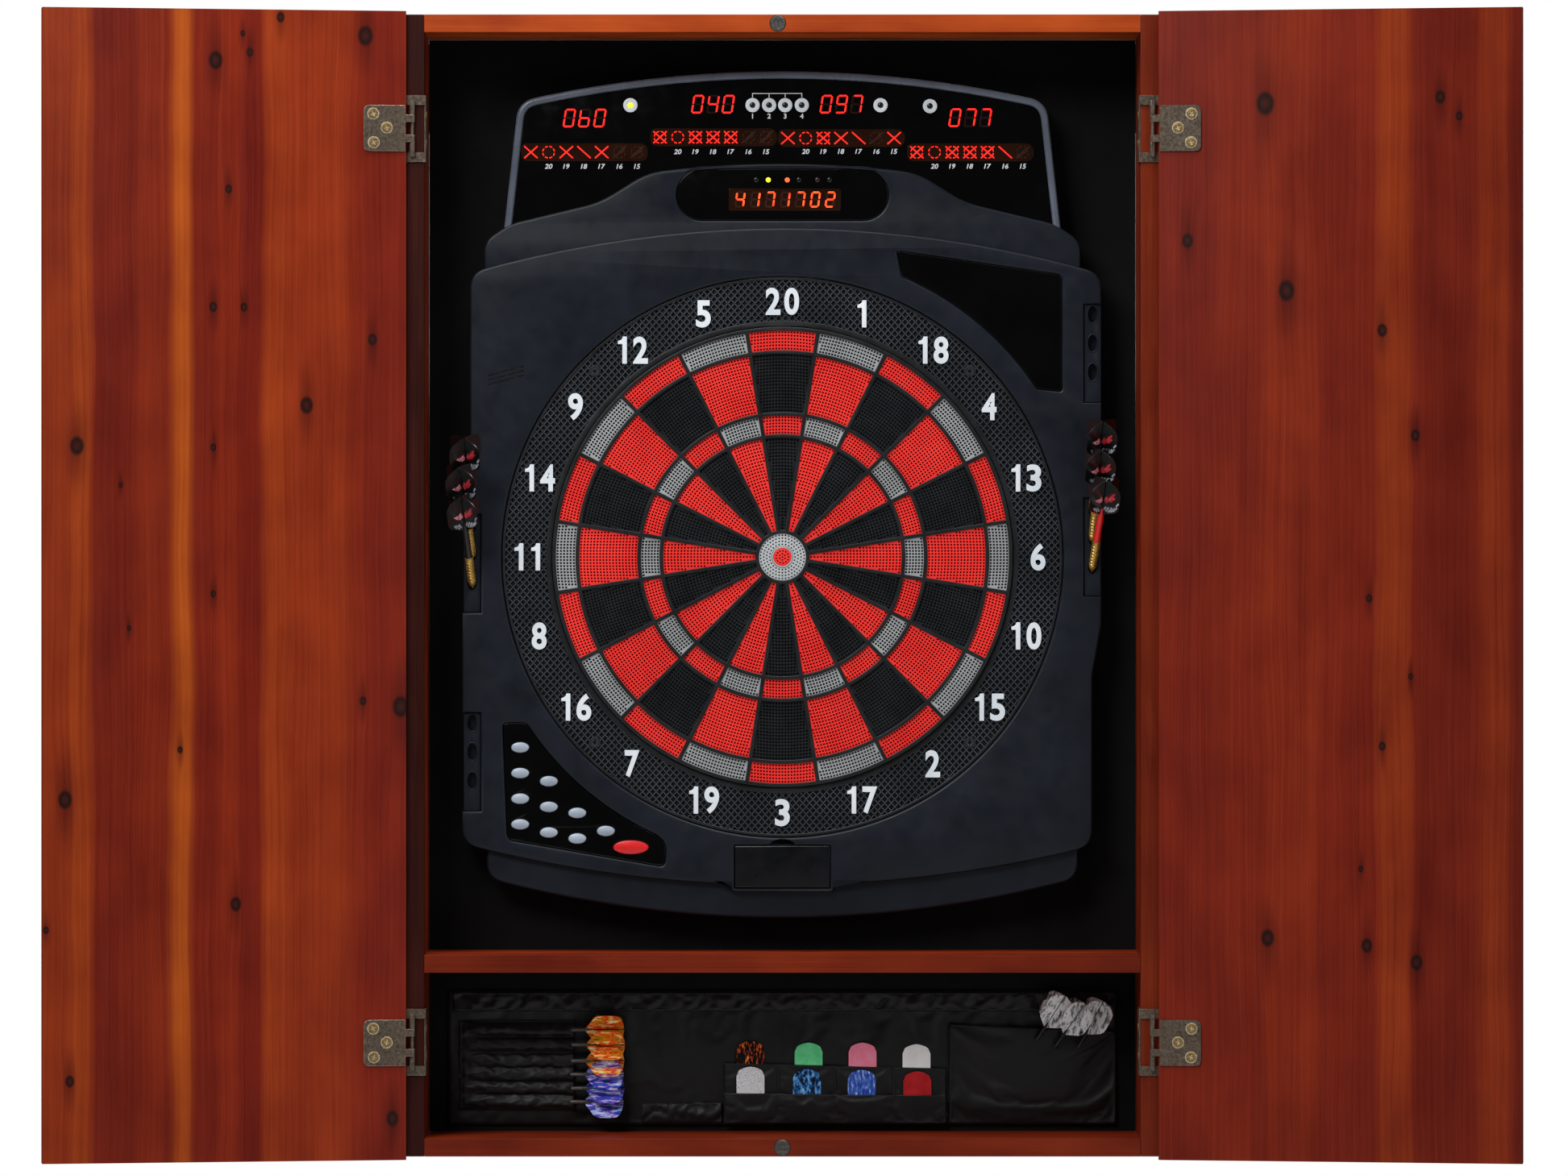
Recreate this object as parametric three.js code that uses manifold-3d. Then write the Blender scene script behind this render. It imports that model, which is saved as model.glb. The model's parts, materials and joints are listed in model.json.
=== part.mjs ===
// A two-door wall cabinet with an electronic soft-tip dartboard and an accessory pouch in it.
// Millimetres. +X is right, +Z is up, the front faces -Y and the wall is the plane y = 0.
// Places are measured from the cabinet's centre line. The whole group is then lowered, so that
// the origin is the middle of the hanging rail's rear face, where the wall carries the cabinet.
import * as THREE from "three";
import { mergeVertices } from "three/addons/utils/BufferGeometryUtils.js";
import Module from "manifold-3d";

// ---- Driving dimensions ----

const GAP = 0.3; // between pieces that lie against each other

// Carcass
const CABINET = { width: 640, height: 972, depth: 112, board: 15 };
const SHELF_TOP = -314.5;
const BACK = { rear: -18, front: -24 };
const RAIL = { z: 430, height: 76 };
const HANGER = { x: 203.2, width: 16, height: 46, sheet: 2, slot: 2.6, entry: 5.2, entryDown: 8, slotUp: 9 };
const HEAD_ROOM = { half: 6, down: 15, up: 16, depth: 12 }; // behind each plate, for a screw head

// Doors, described shut, from the hinge pin: s runs towards the middle of the cabinet
const DOOR = { near: 5.1, width: 308.3, thick: 16, height: 977, inner: 1.6, eased: 1.2 };
const DOOR_OPEN = THREE.MathUtils.degToRad(172);
const PIN = { inset: 5.3, ahead: 3.5, radius: 1.4 };

// Hinges
const HINGE_Z = 388.7;
const SHEET = 1.2; // thickness of the hinge metal
const LEAF = { height: 56.8, arm: 8.2, depth: 26, wing: 5.2 };
const PLATE = { near: 6.5, width: 35, height: 39, corner: 5 };
const KNUCKLE = { radius: 2.25, bore: 1.7, doorFrom: 5.5, doorTo: 11.5, frameFrom: 11.8, frameTo: 23.8 };
const MAGNET = { radius: 6.9, proud: 0.6, length: 8, upperX: -3.8 };

// Dartboard: depth of each layer, and the radii of the target about its centre
const TARGET_Z = 24.5;
const BOARD_REAR = -25.2;
const SPLIT = -44; // where the rear shell meets the front pieces
const FACE = { body: -60, shoulder: -57, crown: -56, chin: -54, ring: -57.5, segment: -59, spider: -60.5 };
const WALL = 2.6;
const RADIUS = {
  innerBull: 8.4,
  bull: 21.7,
  tripleIn: 104,
  tripleOut: 123,
  doubleIn: 176,
  doubleOut: 196,
  ring: 240.5,
};
const WEB = 1.3; // width of the spider's bars
const SECTORS = 20;
const ARC_STEPS = 1; // straight edges to each sector's arc
const RIM_STEPS = 48; // straight edges round the number ring

// Buttons: columns of grey ones, and one red one that starts a game
const BUTTON = { half: [7.5, 4.5], proud: 2, travel: 1.5, pitch: 22 };
const BUTTON_COLUMNS = [
  { x: -225, top: -139, names: ["back", "solo", "sound", "eliminate"] },
  { x: -200.4, top: -168, names: ["player", "double", "bounce"] },
  { x: -176, top: -195.2, names: ["option", "team"] },
  { x: -151.5, top: -210.7, names: ["game"] },
];
const START_BUTTON = { x: -130, z: -224.7, half: [15, 6] };

// Lid of the small compartment under the target, and the tray that it closes
const LID = { half: 40.7, top: -223.4, bottom: -259.6, thick: 2.4, play: 0.4 };
const TRAY = { half: 44, top: -217.2, bottom: -262.5, depth: 12, floor: 2, notch: [8.5, 4.6] };

// Dart holders: inserts in the flanks, each with three slanting holes
const HOLDER = { x: 266.4, width: 14.4, height: 84, front: -57, depth: 12.6, hole: 3.8, first: 8.3, pitch: 24.8 };
const HOLDER_LEAN = THREE.MathUtils.degToRad(58);
const HOLDERS = [
  { name: "right_upper_dart_holder", side: 1, top: 241.2 },
  { name: "right_lower_dart_holder", side: 1, top: 74.9 },
  { name: "left_upper_dart_holder", side: -1, top: 61 },
  { name: "left_lower_dart_holder", side: -1, top: -109.5 },
];

const POUCH = { half: 289, top: -349, bottom: -466, thick: 10 };

// Electronics behind the housing
const BOARD = { back: -39.4, front: -41 };
const INLET = { x: -200, z: -192, radius: 4, bore: 2.8, play: 0.3 };
const SPEAKER = { x: -237, z: 183, cone: 19, magnet: 11 };
const SLITS = { count: 3, pitch: 3.9, left: [-252, 181], right: [-222, 189], height: 1.6 };

// ---- Materials ----

function finish(color, roughness, metalness = 0) {
  return () => new THREE.MeshStandardMaterial({ color, roughness, metalness, flatShading: true });
}
const pine = finish(0x8a3417, 0.45);
const blackBoard = finish(0x0b0b0c, 0.7);
const nickel = finish(0x8a8278, 0.35, 1);
const magnetSteel = finish(0x6d6a66, 0.4, 1);
const zincPlate = finish(0xb9bcc0, 0.35, 1);
const slatePlastic = finish(0x262b35, 0.55);
const blackGloss = finish(0x08080a, 0.1);
const blackPlastic = finish(0x141516, 0.6);
const redPlastic = finish(0xe8322c, 0.5);
const greyPlastic = finish(0x9a9c9c, 0.5);
const circuitGreen = finish(0x1f5a34, 0.5);
const nylon = finish(0x0d0d10, 0.6);

// ---- Solids ----

const wasm = await Module();
wasm.setup();

// A closed three.js geometry as a solid that can be cut and joined.
function solid(geometry) {
  const bare = new THREE.BufferGeometry();
  bare.setAttribute("position", geometry.getAttribute("position"));
  bare.setIndex(geometry.index);
  const merged = mergeVertices(bare, 1e-4);
  const mesh = new wasm.Mesh({
    numProp: 3,
    vertProperties: merged.attributes.position.array,
    triVerts: new Uint32Array(merged.index.array),
  });
  return new wasm.Manifold(mesh);
}

function join(...solids) {
  return solids.reduce((all, next) => all.add(next));
}

function cut(from, ...tools) {
  return tools.reduce((left, tool) => left.subtract(tool), from);
}

function geometryOf(body) {
  const { vertProperties, triVerts } = body.getMesh();
  const geometry = new THREE.BufferGeometry();
  geometry.setAttribute("position", new THREE.BufferAttribute(vertProperties, 3));
  geometry.setIndex(new THREE.BufferAttribute(triVerts, 1));
  return geometry;
}

// A block between two corners, given in any order along each axis.
function block(x0, x1, y0, y1, z0, z1) {
  const size = [Math.abs(x1 - x0), Math.abs(y1 - y0), Math.abs(z1 - z0)];
  const geometry = new THREE.BoxGeometry(...size);
  return solid(geometry.translate((x0 + x1) / 2, (y0 + y1) / 2, (z0 + z1) / 2));
}

// A flat outline in X and Z, pushed through from y = back to y = front.
function prism(outline, back, front) {
  const options = { depth: back - front, bevelEnabled: false };
  const geometry = new THREE.ExtrudeGeometry(new THREE.Shape(outline), options);
  return solid(geometry.rotateX(Math.PI / 2).translate(0, back, 0));
}

function disc(radius, back, front, x = 0, z = 0, steps = 40) {
  return prism(ellipse(x, z, radius, radius, steps), back, front);
}

function tube(inner, outer, back, front, z, steps) {
  return cut(disc(outer, back, front, 0, z, steps), disc(inner, back + 1, front - 1, 0, z, steps));
}

// A round bar along Z.
function post(radius, z0, z1, steps = 12) {
  const geometry = new THREE.CylinderGeometry(radius, radius, Math.abs(z1 - z0), steps);
  return solid(geometry.rotateX(Math.PI / 2).translate(0, 0, (z0 + z1) / 2));
}

// ---- Outlines, as points of X and Z ----

function ellipse(x, z, halfWidth, halfHeight, steps) {
  const points = [];
  for (let i = 0; i < steps; i++) {
    const turn = (2 * Math.PI * i) / steps;
    points.push(new THREE.Vector2(x + halfWidth * Math.cos(turn), z + halfHeight * Math.sin(turn)));
  }
  return points;
}

// A closed outline through corners [x, z, radius], with each corner that has a radius rounded.
function outline(corners, steps = 3) {
  const points = [];
  const place = ([x, z]) => new THREE.Vector2(x, z);
  corners.forEach((corner, i) => {
    const here = place(corner);
    const radius = corner[2] ?? 0;
    if (radius === 0) {
      points.push(here);
      return;
    }
    const before = place(corners[(i + corners.length - 1) % corners.length]);
    const after = place(corners[(i + 1) % corners.length]);
    const start = before.sub(here).setLength(radius).add(here);
    const end = after.sub(here).setLength(radius).add(here);
    points.push(...new THREE.QuadraticBezierCurve(start, here, end).getPoints(steps));
  });
  return points;
}

// Points between two corners, not counting them, on a shallow bow that rises in the middle.
function bow([x0, z0], [x1, z1], rise, steps) {
  const points = [];
  for (let i = 1; i < steps; i++) {
    const t = i / steps;
    points.push([x0 + (x1 - x0) * t, z0 + (z1 - z0) * t + 4 * rise * t * (1 - t)]);
  }
  return points;
}

// Points on a circle about the target's centre, from one angle to another in degrees.
function arc(radius, from, to, steps) {
  const points = [];
  for (let i = 0; i <= steps; i++) {
    const turn = THREE.MathUtils.degToRad(from + ((to - from) * i) / steps);
    points.push([radius * Math.cos(turn), TARGET_Z + radius * Math.sin(turn)]);
  }
  return points;
}

// The outline moved outwards by a distance, or inwards by a negative one.
function grown(points, distance) {
  const clockwise = THREE.ShapeUtils.area(points) < 0;
  const count = points.length;
  return points.map((point, i) => {
    const before = points[(i + count - 1) % count];
    const after = points[(i + 1) % count];
    const in1 = point.clone().sub(before).normalize();
    const in2 = after.clone().sub(point).normalize();
    const normal = new THREE.Vector2(in1.y + in2.y, -in1.x - in2.x).normalize();
    const stretch = distance / Math.max(0.5, normal.dot(new THREE.Vector2(in1.y, -in1.x)));
    return point.clone().addScaledVector(normal, clockwise ? -stretch : stretch);
  });
}

function mirrored(corners) {
  return corners.map(([x, z, radius]) => [-x, z, radius]).reverse();
}

// The body is 8 mm wider over each dart-holder flank: high on the right and low on the left.
function bodyOutline() {
  const topLeft = [-268, 269, 14];
  const topRight = [274, 268, 14];
  const bottomRight = [266, -224, 14];
  const bottomLeft = [-275, -222, 14];
  return outline([
    topLeft,
    ...bow(topLeft, topRight, 38.6, 10),
    topRight,
    [274, -33],
    [266, -78],
    bottomRight,
    ...bow(bottomRight, bottomLeft, -34.6, 10),
    bottomLeft,
    [-275, 60],
    [-268, 94],
  ]);
}

function chinOutline() {
  const right = [254, -252, 14];
  const left = [-254, -252, 14];
  return outline([[-254, -200], [254, -200], right, ...bow(right, left, -34, 10), left]);
}

function shoulderOutline() {
  const rightHalf = [
    [116, 354.5, 14],
    [157, 329, 14],
    [234, 310.5, 8],
    [256, 296, 10],
    [256, 240],
  ];
  const leftHalf = mirrored(rightHalf);
  const plateau = bow([-116, 354.5], [116, 354.5], 8, 6);
  return outline([...leftHalf, ...plateau, ...rightHalf]);
}

function crownOutline() {
  const left = [-227, 416, 15];
  const right = [227, 416, 15];
  return outline([[-242, 280], left, ...bow(left, right, 26, 10), right, [242, 280]]);
}

function pillOutline(margin) {
  const half = { x: 91 - margin, z: 22.1 - margin };
  const middle = 335.7;
  const points = [];
  for (const side of [1, -1]) {
    for (let i = 0; i <= 8; i++) {
      const turn = ((i / 8 - 0.5) * Math.PI) + (side < 0 ? Math.PI : 0);
      const x = side * (half.x - half.z) + half.z * Math.cos(turn);
      points.push(new THREE.Vector2(x, middle + half.z * Math.sin(turn)));
    }
  }
  return points;
}

function keypadOutline(corner = 4) {
  return outline([
    [-240, -118, corner],
    [-222, -118],
    ...arc(262, 213.4, 245.5, 6),
    [-100, -221, corner],
    [-101, -241.5, corner],
    [-236, -218.2, corner],
  ]);
}

function cornerPlateOutline() {
  return outline([...arc(262, 67, 33.4, 6), [239.8, 166.6, 3], [239.8, 266.7, 3], [98.3, 287.4, 3]]);
}

// ---- Assembly tree ----

const cabinet = new THREE.Group();
cabinet.position.z = -RAIL.z;

function place(parent, name, body, material) {
  const mesh = new THREE.Mesh(geometryOf(body), material());
  mesh.name = name;
  parent.add(mesh);
}

// ---- Carcass ----

const halfWidth = CABINET.width / 2;
const halfHeight = CABINET.height / 2;
const innerHalf = halfWidth - CABINET.board;
const frontY = -CABINET.depth;
const fitted = innerHalf - GAP; // half-length of a board that fits between the sides

function magnetBore(x, z) {
  return disc(MAGNET.radius + 0.2, frontY + MAGNET.length + GAP, frontY - 1, x, z, 24);
}

for (const [name, side] of [["left_side_panel", -1], ["right_side_panel", 1]]) {
  place(cabinet, name, block(side * innerHalf, side * halfWidth, frontY, 0, -halfHeight, halfHeight), pine);
}

const edgeMiddle = halfHeight - CABINET.board / 2; // height of the magnets
const ends = [
  ["top_panel", 1, MAGNET.upperX],
  ["bottom_panel", -1, 0],
];
for (const [name, up, magnetX] of ends) {
  const z = up * halfHeight;
  const panel = block(-fitted, fitted, frontY, 0, z - up * CABINET.board, z);
  place(cabinet, name, cut(panel, magnetBore(magnetX, up * edgeMiddle)), pine);
}
const magnets = [
  ["upper_magnet", MAGNET.upperX, edgeMiddle],
  ["lower_magnet", 0, -edgeMiddle],
];
for (const [name, x, z] of magnets) {
  place(cabinet, name, disc(MAGNET.radius, frontY + MAGNET.length, frontY - MAGNET.proud, x, z, 24), magnetSteel);
}

place(
  cabinet,
  "divider_shelf",
  block(-fitted, fitted, frontY, BACK.front - GAP, SHELF_TOP - CABINET.board, SHELF_TOP),
  pine,
);

const backHalf = halfHeight - CABINET.board - GAP;
place(cabinet, "back_panel", block(-fitted, fitted, BACK.front, BACK.rear, -backHalf, backHalf), blackBoard);

// The rail takes the cabinet's weight on two screws 406 mm apart, through its keyhole plates.
function keyhole(x) {
  const slotTop = RAIL.z + HANGER.slotUp;
  const slot = block(x - HANGER.slot, x + HANGER.slot, 1, -4, RAIL.z - HANGER.entryDown, slotTop);
  const entry = disc(HANGER.entry, 1, -4, x, RAIL.z - HANGER.entryDown, 20);
  return join(slot, entry, disc(HANGER.slot, 1, -4, x, slotTop, 16));
}

function hangingRail() {
  const low = RAIL.z - RAIL.height / 2;
  let rail = block(-fitted, fitted, BACK.rear + GAP, 0, low, low + RAIL.height);
  for (const side of [-1, 1]) {
    const x = side * HANGER.x;
    const across = HANGER.width / 2 + GAP;
    const along = HANGER.height / 2 + GAP;
    const recess = block(x - across, x + across, 1, -HANGER.sheet - GAP, RAIL.z - along, RAIL.z + along);
    const { half, down, up, depth } = HEAD_ROOM;
    const cavity = block(x - half, x + half, 0, -depth, RAIL.z - down, RAIL.z + up);
    rail = cut(rail, recess, cavity);
  }
  return rail;
}
place(cabinet, "hanging_rail", hangingRail(), pine);
for (const [name, side] of [["left_keyhole_plate", -1], ["right_keyhole_plate", 1]]) {
  const x = side * HANGER.x;
  const across = HANGER.width / 2;
  const along = HANGER.height / 2;
  const plate = block(x - across, x + across, -GAP / 2, -HANGER.sheet, RAIL.z - along, RAIL.z + along);
  place(cabinet, name, cut(plate, keyhole(x)), zincPlate);
}

// ---- Doors and hinges ----

// The frame's half of a hinge: two arms on the front edge, a leaf round the corner on the inner
// wall, and the outer knuckles with the pin staked in them.
function frameLeaf(side, z) {
  const pinX = side * (halfWidth - PIN.inset);
  const pinY = frontY - PIN.ahead;
  const half = LEAF.height / 2;
  const wallX = side * (innerHalf - GAP);
  const leafX = wallX - side * SHEET;
  const front = frontY - GAP;
  const wall = block(wallX, leafX, frontY + 0.6, frontY + LEAF.depth, z - half, z + half);
  const parts = [wall];
  for (const up of [-1, 1]) {
    const inner = z + up * (half - LEAF.arm);
    const outer = z + up * half;
    const tip = side * (halfWidth - PIN.inset + LEAF.wing);
    parts.push(block(tip, leafX, front, front - SHEET, inner, outer));
    parts.push(block(wallX, leafX, front - SHEET, frontY + 1, inner, outer));
    const knuckle = post(KNUCKLE.radius, z + up * KNUCKLE.frameFrom, z + up * KNUCKLE.frameTo);
    parts.push(knuckle.translate([pinX, pinY, 0]));
    const web = KNUCKLE.radius - 0.4;
    parts.push(block(pinX - web, pinX + web, pinY, front - SHEET / 2, inner, z + up * KNUCKLE.frameTo));
  }
  parts.push(post(PIN.radius, z - KNUCKLE.frameTo, z + KNUCKLE.frameTo, 10).translate([pinX, pinY, 0]));
  return join(...parts);
}

// The door's half: a plate on the inner face and two knuckles that turn on the pin. It is
// drawn with the door shut, from the pin, and s runs towards the middle of the cabinet.
function doorPlate(side) {
  const s = (distance) => -side * distance;
  const far = PLATE.near + PLATE.width;
  const half = PLATE.height / 2;
  const inner = DOOR.inner + GAP;
  const corners = [
    [s(PLATE.near), -half],
    [s(far), -half, PLATE.corner],
    [s(far), half, PLATE.corner],
    [s(PLATE.near), half],
  ];
  let plate = prism(outline(corners), inner + SHEET, inner);
  for (const up of [-1, 1]) {
    const from = up * KNUCKLE.doorFrom;
    const to = up * KNUCKLE.doorTo;
    const tongue = block(s(-0.4), s(PLATE.near + 1), inner, inner + SHEET, from, to);
    const root = block(s(-0.4), s(1.8), 1, inner + 0.5, from, to);
    plate = join(plate, post(KNUCKLE.radius, from, to), tongue, root);
    plate = cut(plate, post(KNUCKLE.bore, from * 0.5, to * 1.2));
  }
  return plate;
}

// A flat slab with its long edges eased.
function doorSlab(side) {
  const near = -side * DOOR.near;
  const far = -side * (DOOR.near + DOOR.width);
  const inner = DOOR.inner;
  const outer = DOOR.inner - DOOR.thick;
  const r = DOOR.eased;
  const section = outline([[near, inner, r], [far, inner, r], [far, outer, r], [near, outer, r]], 2);
  const options = { depth: DOOR.height, bevelEnabled: false };
  const geometry = new THREE.ExtrudeGeometry(new THREE.Shape(section), options);
  return solid(geometry.translate(0, 0, -DOOR.height / 2));
}

for (const [word, side] of [["left", -1], ["right", 1]]) {
  const swing = new THREE.Group();
  swing.position.set(side * (halfWidth - PIN.inset), frontY - PIN.ahead, 0);
  swing.rotation.z = side * DOOR_OPEN;
  cabinet.add(swing);
  place(swing, `${word}_door`, doorSlab(side), pine);
  for (const [level, z] of [["upper", HINGE_Z], ["lower", -HINGE_Z]]) {
    place(cabinet, `${word}_${level}_hinge_frame_leaf`, frameLeaf(side, z), nickel);
    place(swing, `${word}_${level}_hinge_door_plate`, doorPlate(side).translate([0, 0, z]), nickel);
  }
}

// ---- Dartboard housing ----

const body = bodyOutline();
const chin = chinOutline();
const shoulder = shoulderOutline();
const crown = crownOutline();

// The place of the lid's tray, which reaches a little below the body's lower edge.
function trayBlock(margin, back, front) {
  const half = TRAY.half + margin;
  return block(-half, half, back, front, TRAY.bottom - margin, TRAY.top + margin);
}

// Everything that the body and the tray cover, made larger by a margin.
function bodyPrism(margin, back, front) {
  return join(prism(grown(body, margin), back, front), trayBlock(margin, back, front));
}

function shoulderPrism(margin, back, front) {
  return prism(grown(shoulder, margin), back, front);
}

function silhouette(margin, back, front) {
  const crownPart = prism(grown(crown, margin), back, front);
  const chinPart = prism(grown(chin, margin), back, front);
  return join(bodyPrism(margin, back, front), shoulderPrism(margin, back, front), crownPart, chinPart);
}

// An open tray that holds the electronics and hangs on the back panel.
const hollowRear = silhouette(-WALL, BOARD_REAR - WALL, SPLIT - 1);
const inletHole = disc(INLET.radius + INLET.play, BOARD_REAR + 1, BOARD_REAR - WALL - 1, INLET.x, INLET.z, 20);
place(
  cabinet,
  "board_rear_shell",
  cut(silhouette(0, BOARD_REAR, SPLIT), hollowRear, inletHole),
  slatePlastic,
);

const joint = SPLIT - GAP;

function holderBox(holder, margin, back, front) {
  const half = HOLDER.width / 2;
  const inner = holder.side * (HOLDER.x - half - margin);
  const outer = holder.side * (HOLDER.x + half + margin + 4 * Math.sign(margin));
  return block(inner, outer, back, front, holder.top + margin, holder.top - HOLDER.height - margin);
}

// Button places, top to bottom in each column, then the red one.
const buttons = BUTTON_COLUMNS.flatMap(({ x, top, names }) =>
  names.map((word, row) => ({ name: `${word}_button`, x, z: top - row * BUTTON.pitch, half: BUTTON.half })),
);
buttons.push({ name: "start_button", ...START_BUTTON });

function buttonPrism({ x, z, half }, margin, back, front) {
  return prism(ellipse(x, z, half[0] + margin, half[1] + margin, 14), back, front);
}

const INSET = 1.4; // depth of the recesses for the two black plates

function frontShell() {
  const skin = 3;
  const shellBack = FACE.body + skin;
  let shell = bodyPrism(0, joint, FACE.body);
  shell = cut(shell, bodyPrism(-WALL, joint + 1, shellBack));
  shell = join(shell, tube(230, RADIUS.ring + 4, -51, shellBack - 0.5, TARGET_Z, RIM_STEPS));
  shell = cut(shell, disc(RADIUS.ring + 0.6, -53.8, FACE.body - 1, 0, TARGET_Z, RIM_STEPS));
  shell = cut(shell, trayBlock(GAP, joint + 1, FACE.body - 1));
  // Recesses for the plates, with an opening behind the keypad for its buttons
  shell = cut(shell, prism(grown(keypadOutline(), GAP), FACE.body + INSET, FACE.body - 1));
  shell = cut(shell, prism(grown(cornerPlateOutline(), GAP), FACE.body + INSET, FACE.body - 1));
  shell = cut(shell, prism(grown(keypadOutline(0), -2.5), shellBack + 1, FACE.body - 1));
  for (let i = 0; i < SLITS.count; i++) {
    const [left, right] = [SLITS.left, SLITS.right].map(([x, z]) => [x, z - i * SLITS.pitch]);
    const below = ([x, z]) => [x, z - SLITS.height];
    const slit = outline([left, right, below(right), below(left)]);
    shell = cut(shell, prism(slit, shellBack + 1, FACE.body - 1));
  }
  for (const holder of HOLDERS) {
    shell = cut(shell, holderBox(holder, GAP, joint + 1, FACE.body - 1));
  }
  return shell;
}
place(cabinet, "board_front_shell", frontShell(), slatePlastic);

// The tray behind the lid, with a half-round notch for a fingertip above it.
function lidTray() {
  const floor = FACE.body + TRAY.depth - TRAY.floor;
  const half = LID.half + LID.play;
  const hollow = block(-half, half, floor, FACE.body - 1, LID.bottom - LID.play, LID.top + LID.play);
  const notch = prism(ellipse(0, LID.top + LID.play / 2, ...TRAY.notch, 24), FACE.body + 2, FACE.body - 1);
  return cut(trayBlock(0, FACE.body + TRAY.depth, FACE.body), hollow, notch);
}
place(cabinet, "lid_tray", lidTray(), slatePlastic);

function chinShell() {
  const solidChin = cut(prism(chin, joint, FACE.chin), bodyPrism(GAP, joint + 1, FACE.chin - 1));
  const hollow = cut(
    prism(grown(chin, -WALL), joint + 1, FACE.chin + WALL),
    bodyPrism(WALL + GAP, joint + 2, FACE.chin - 1),
  );
  return cut(solidChin, hollow);
}
place(cabinet, "chin_shell", chinShell(), slatePlastic);

function shoulderShell() {
  const hollow = cut(
    shoulderPrism(-WALL, joint + 1, FACE.shoulder + 5),
    bodyPrism(WALL + GAP, joint + 2, FACE.shoulder - 1),
  );
  return cut(
    shoulderPrism(0, joint, FACE.shoulder),
    bodyPrism(GAP, joint + 1, FACE.shoulder - 1),
    hollow,
    prism(pillOutline(0), FACE.shoulder + 2.4, FACE.shoulder - 1),
  );
}
place(cabinet, "shoulder_shell", shoulderShell(), slatePlastic);
place(cabinet, "turn_display_lens", prism(pillOutline(GAP), FACE.shoulder + 2.1, FACE.shoulder + 0.6), blackGloss);

const CROWN_RIM = 6.5;
const crownFloor = FACE.crown + 5;

function crownShell() {
  const margin = GAP;
  return cut(
    prism(crown, joint, FACE.crown),
    prism(grown(crown, -CROWN_RIM), crownFloor, FACE.crown - 1),
    prism(grown(crown, -WALL), joint + 1, crownFloor + 2),
    shoulderPrism(margin, joint + 1, FACE.crown - 1),
    bodyPrism(margin, joint + 1, FACE.crown - 1),
  );
}
place(cabinet, "crown_shell", crownShell(), slatePlastic);

function crownLens() {
  const back = crownFloor - GAP;
  const lens = prism(grown(crown, -CROWN_RIM - GAP), back, back - 2);
  return cut(lens, shoulderPrism(GAP, back + 1, back - 3), bodyPrism(GAP, back + 1, back - 3));
}
place(cabinet, "crown_lens", crownLens(), blackGloss);

// ---- Electronics ----

place(cabinet, "display_circuit_board", block(-190, 190, BOARD.back, BOARD.front, 322, 402), circuitGreen);

// The board behind the keypad, with the inlet for the power adapter soldered to it.
function mainBoard() {
  const { x, z, radius, bore } = INLET;
  const barrel = disc(radius, BOARD_REAR, BOARD.front, x, z, 20);
  const socket = disc(bore, BOARD_REAR + 1, BOARD_REAR - 9, x, z, 16);
  return cut(join(block(-242, -112, BOARD.back, BOARD.front, -214, -128), barrel), socket);
}
place(cabinet, "main_circuit_board", mainBoard(), circuitGreen);
place(
  cabinet,
  "speaker",
  join(
    disc(SPEAKER.cone, -48, -55, SPEAKER.x, SPEAKER.z, 24),
    disc(SPEAKER.magnet, -40, -48.5, SPEAKER.x, SPEAKER.z, 20),
  ),
  blackPlastic,
);

// ---- Target ----

const sectorAngle = 360 / SECTORS;
const circleSteps = SECTORS * ARC_STEPS;

function catchRing() {
  const front = FACE.ring;
  const inner = RADIUS.doubleOut + WEB + 0.9;
  let ring = tube(inner, RADIUS.ring, -54.1, front, TARGET_Z, RIM_STEPS);
  for (const x of [-161, 161]) {
    for (const up of [-1, 1]) {
      ring = cut(ring, disc(3, -50, front - 1, x, TARGET_Z + up * 159.6, 8));
    }
  }
  return ring;
}
place(cabinet, "catch_ring", catchRing(), blackPlastic);

// Circle edges turn at the sector lines, so every ring of the target has matching flats.
function targetDisc(radius, back, front, steps = circleSteps) {
  const turned = ellipse(0, 0, radius, radius, steps).map((point) => {
    point.rotateAround(new THREE.Vector2(), THREE.MathUtils.degToRad(sectorAngle / 2));
    point.y += TARGET_Z;
    return point;
  });
  return prism(turned, back, front);
}

function targetTube(inner, outer, back, front, steps) {
  return cut(targetDisc(outer, back, front, steps), targetDisc(inner, back + 1, front - 1, steps));
}

function spider() {
  const back = -52;
  const front = FACE.spider;
  const { bull, tripleIn, tripleOut, doubleIn, doubleOut } = RADIUS;
  const rings = [bull, tripleIn, tripleOut, doubleIn, doubleOut].map((radius) =>
    targetTube(radius - WEB / 2, radius + WEB / 2, back, front),
  );
  const bars = [];
  for (let i = 0; i < SECTORS; i++) {
    const bar = block(bull, doubleOut, back, front, -WEB / 2, WEB / 2);
    bars.push(bar.rotate([0, (i + 0.5) * sectorAngle, 0]).translate([0, 0, TARGET_Z]));
  }
  return join(...rings, ...bars);
}
place(cabinet, "spider", spider(), blackPlastic);

// One ring of twenty segments. They stand on one thin web, which flexes as each is struck.
function segmentRing(inner, outer) {
  const side = WEB / 2 + 0.3;
  let ring = targetTube(inner * 1.02, outer - 1, -50.8, -51.6, SECTORS);
  for (let i = 0; i < SECTORS; i++) {
    const middle = i * sectorAngle;
    const edge = (radius) => sectorAngle / 2 - THREE.MathUtils.radToDeg(Math.asin(side / radius));
    const inside = arc(inner, middle - edge(inner), middle + edge(inner), ARC_STEPS);
    const outside = arc(outer, middle + edge(outer), middle - edge(outer), ARC_STEPS);
    ring = join(ring, prism(outline([...inside, ...outside]), -51.2, FACE.segment));
  }
  return ring;
}
const play = WEB / 2 + 0.4;
place(cabinet, "inner_single_segments", segmentRing(RADIUS.bull + play, RADIUS.tripleIn - play), redPlastic);
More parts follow.
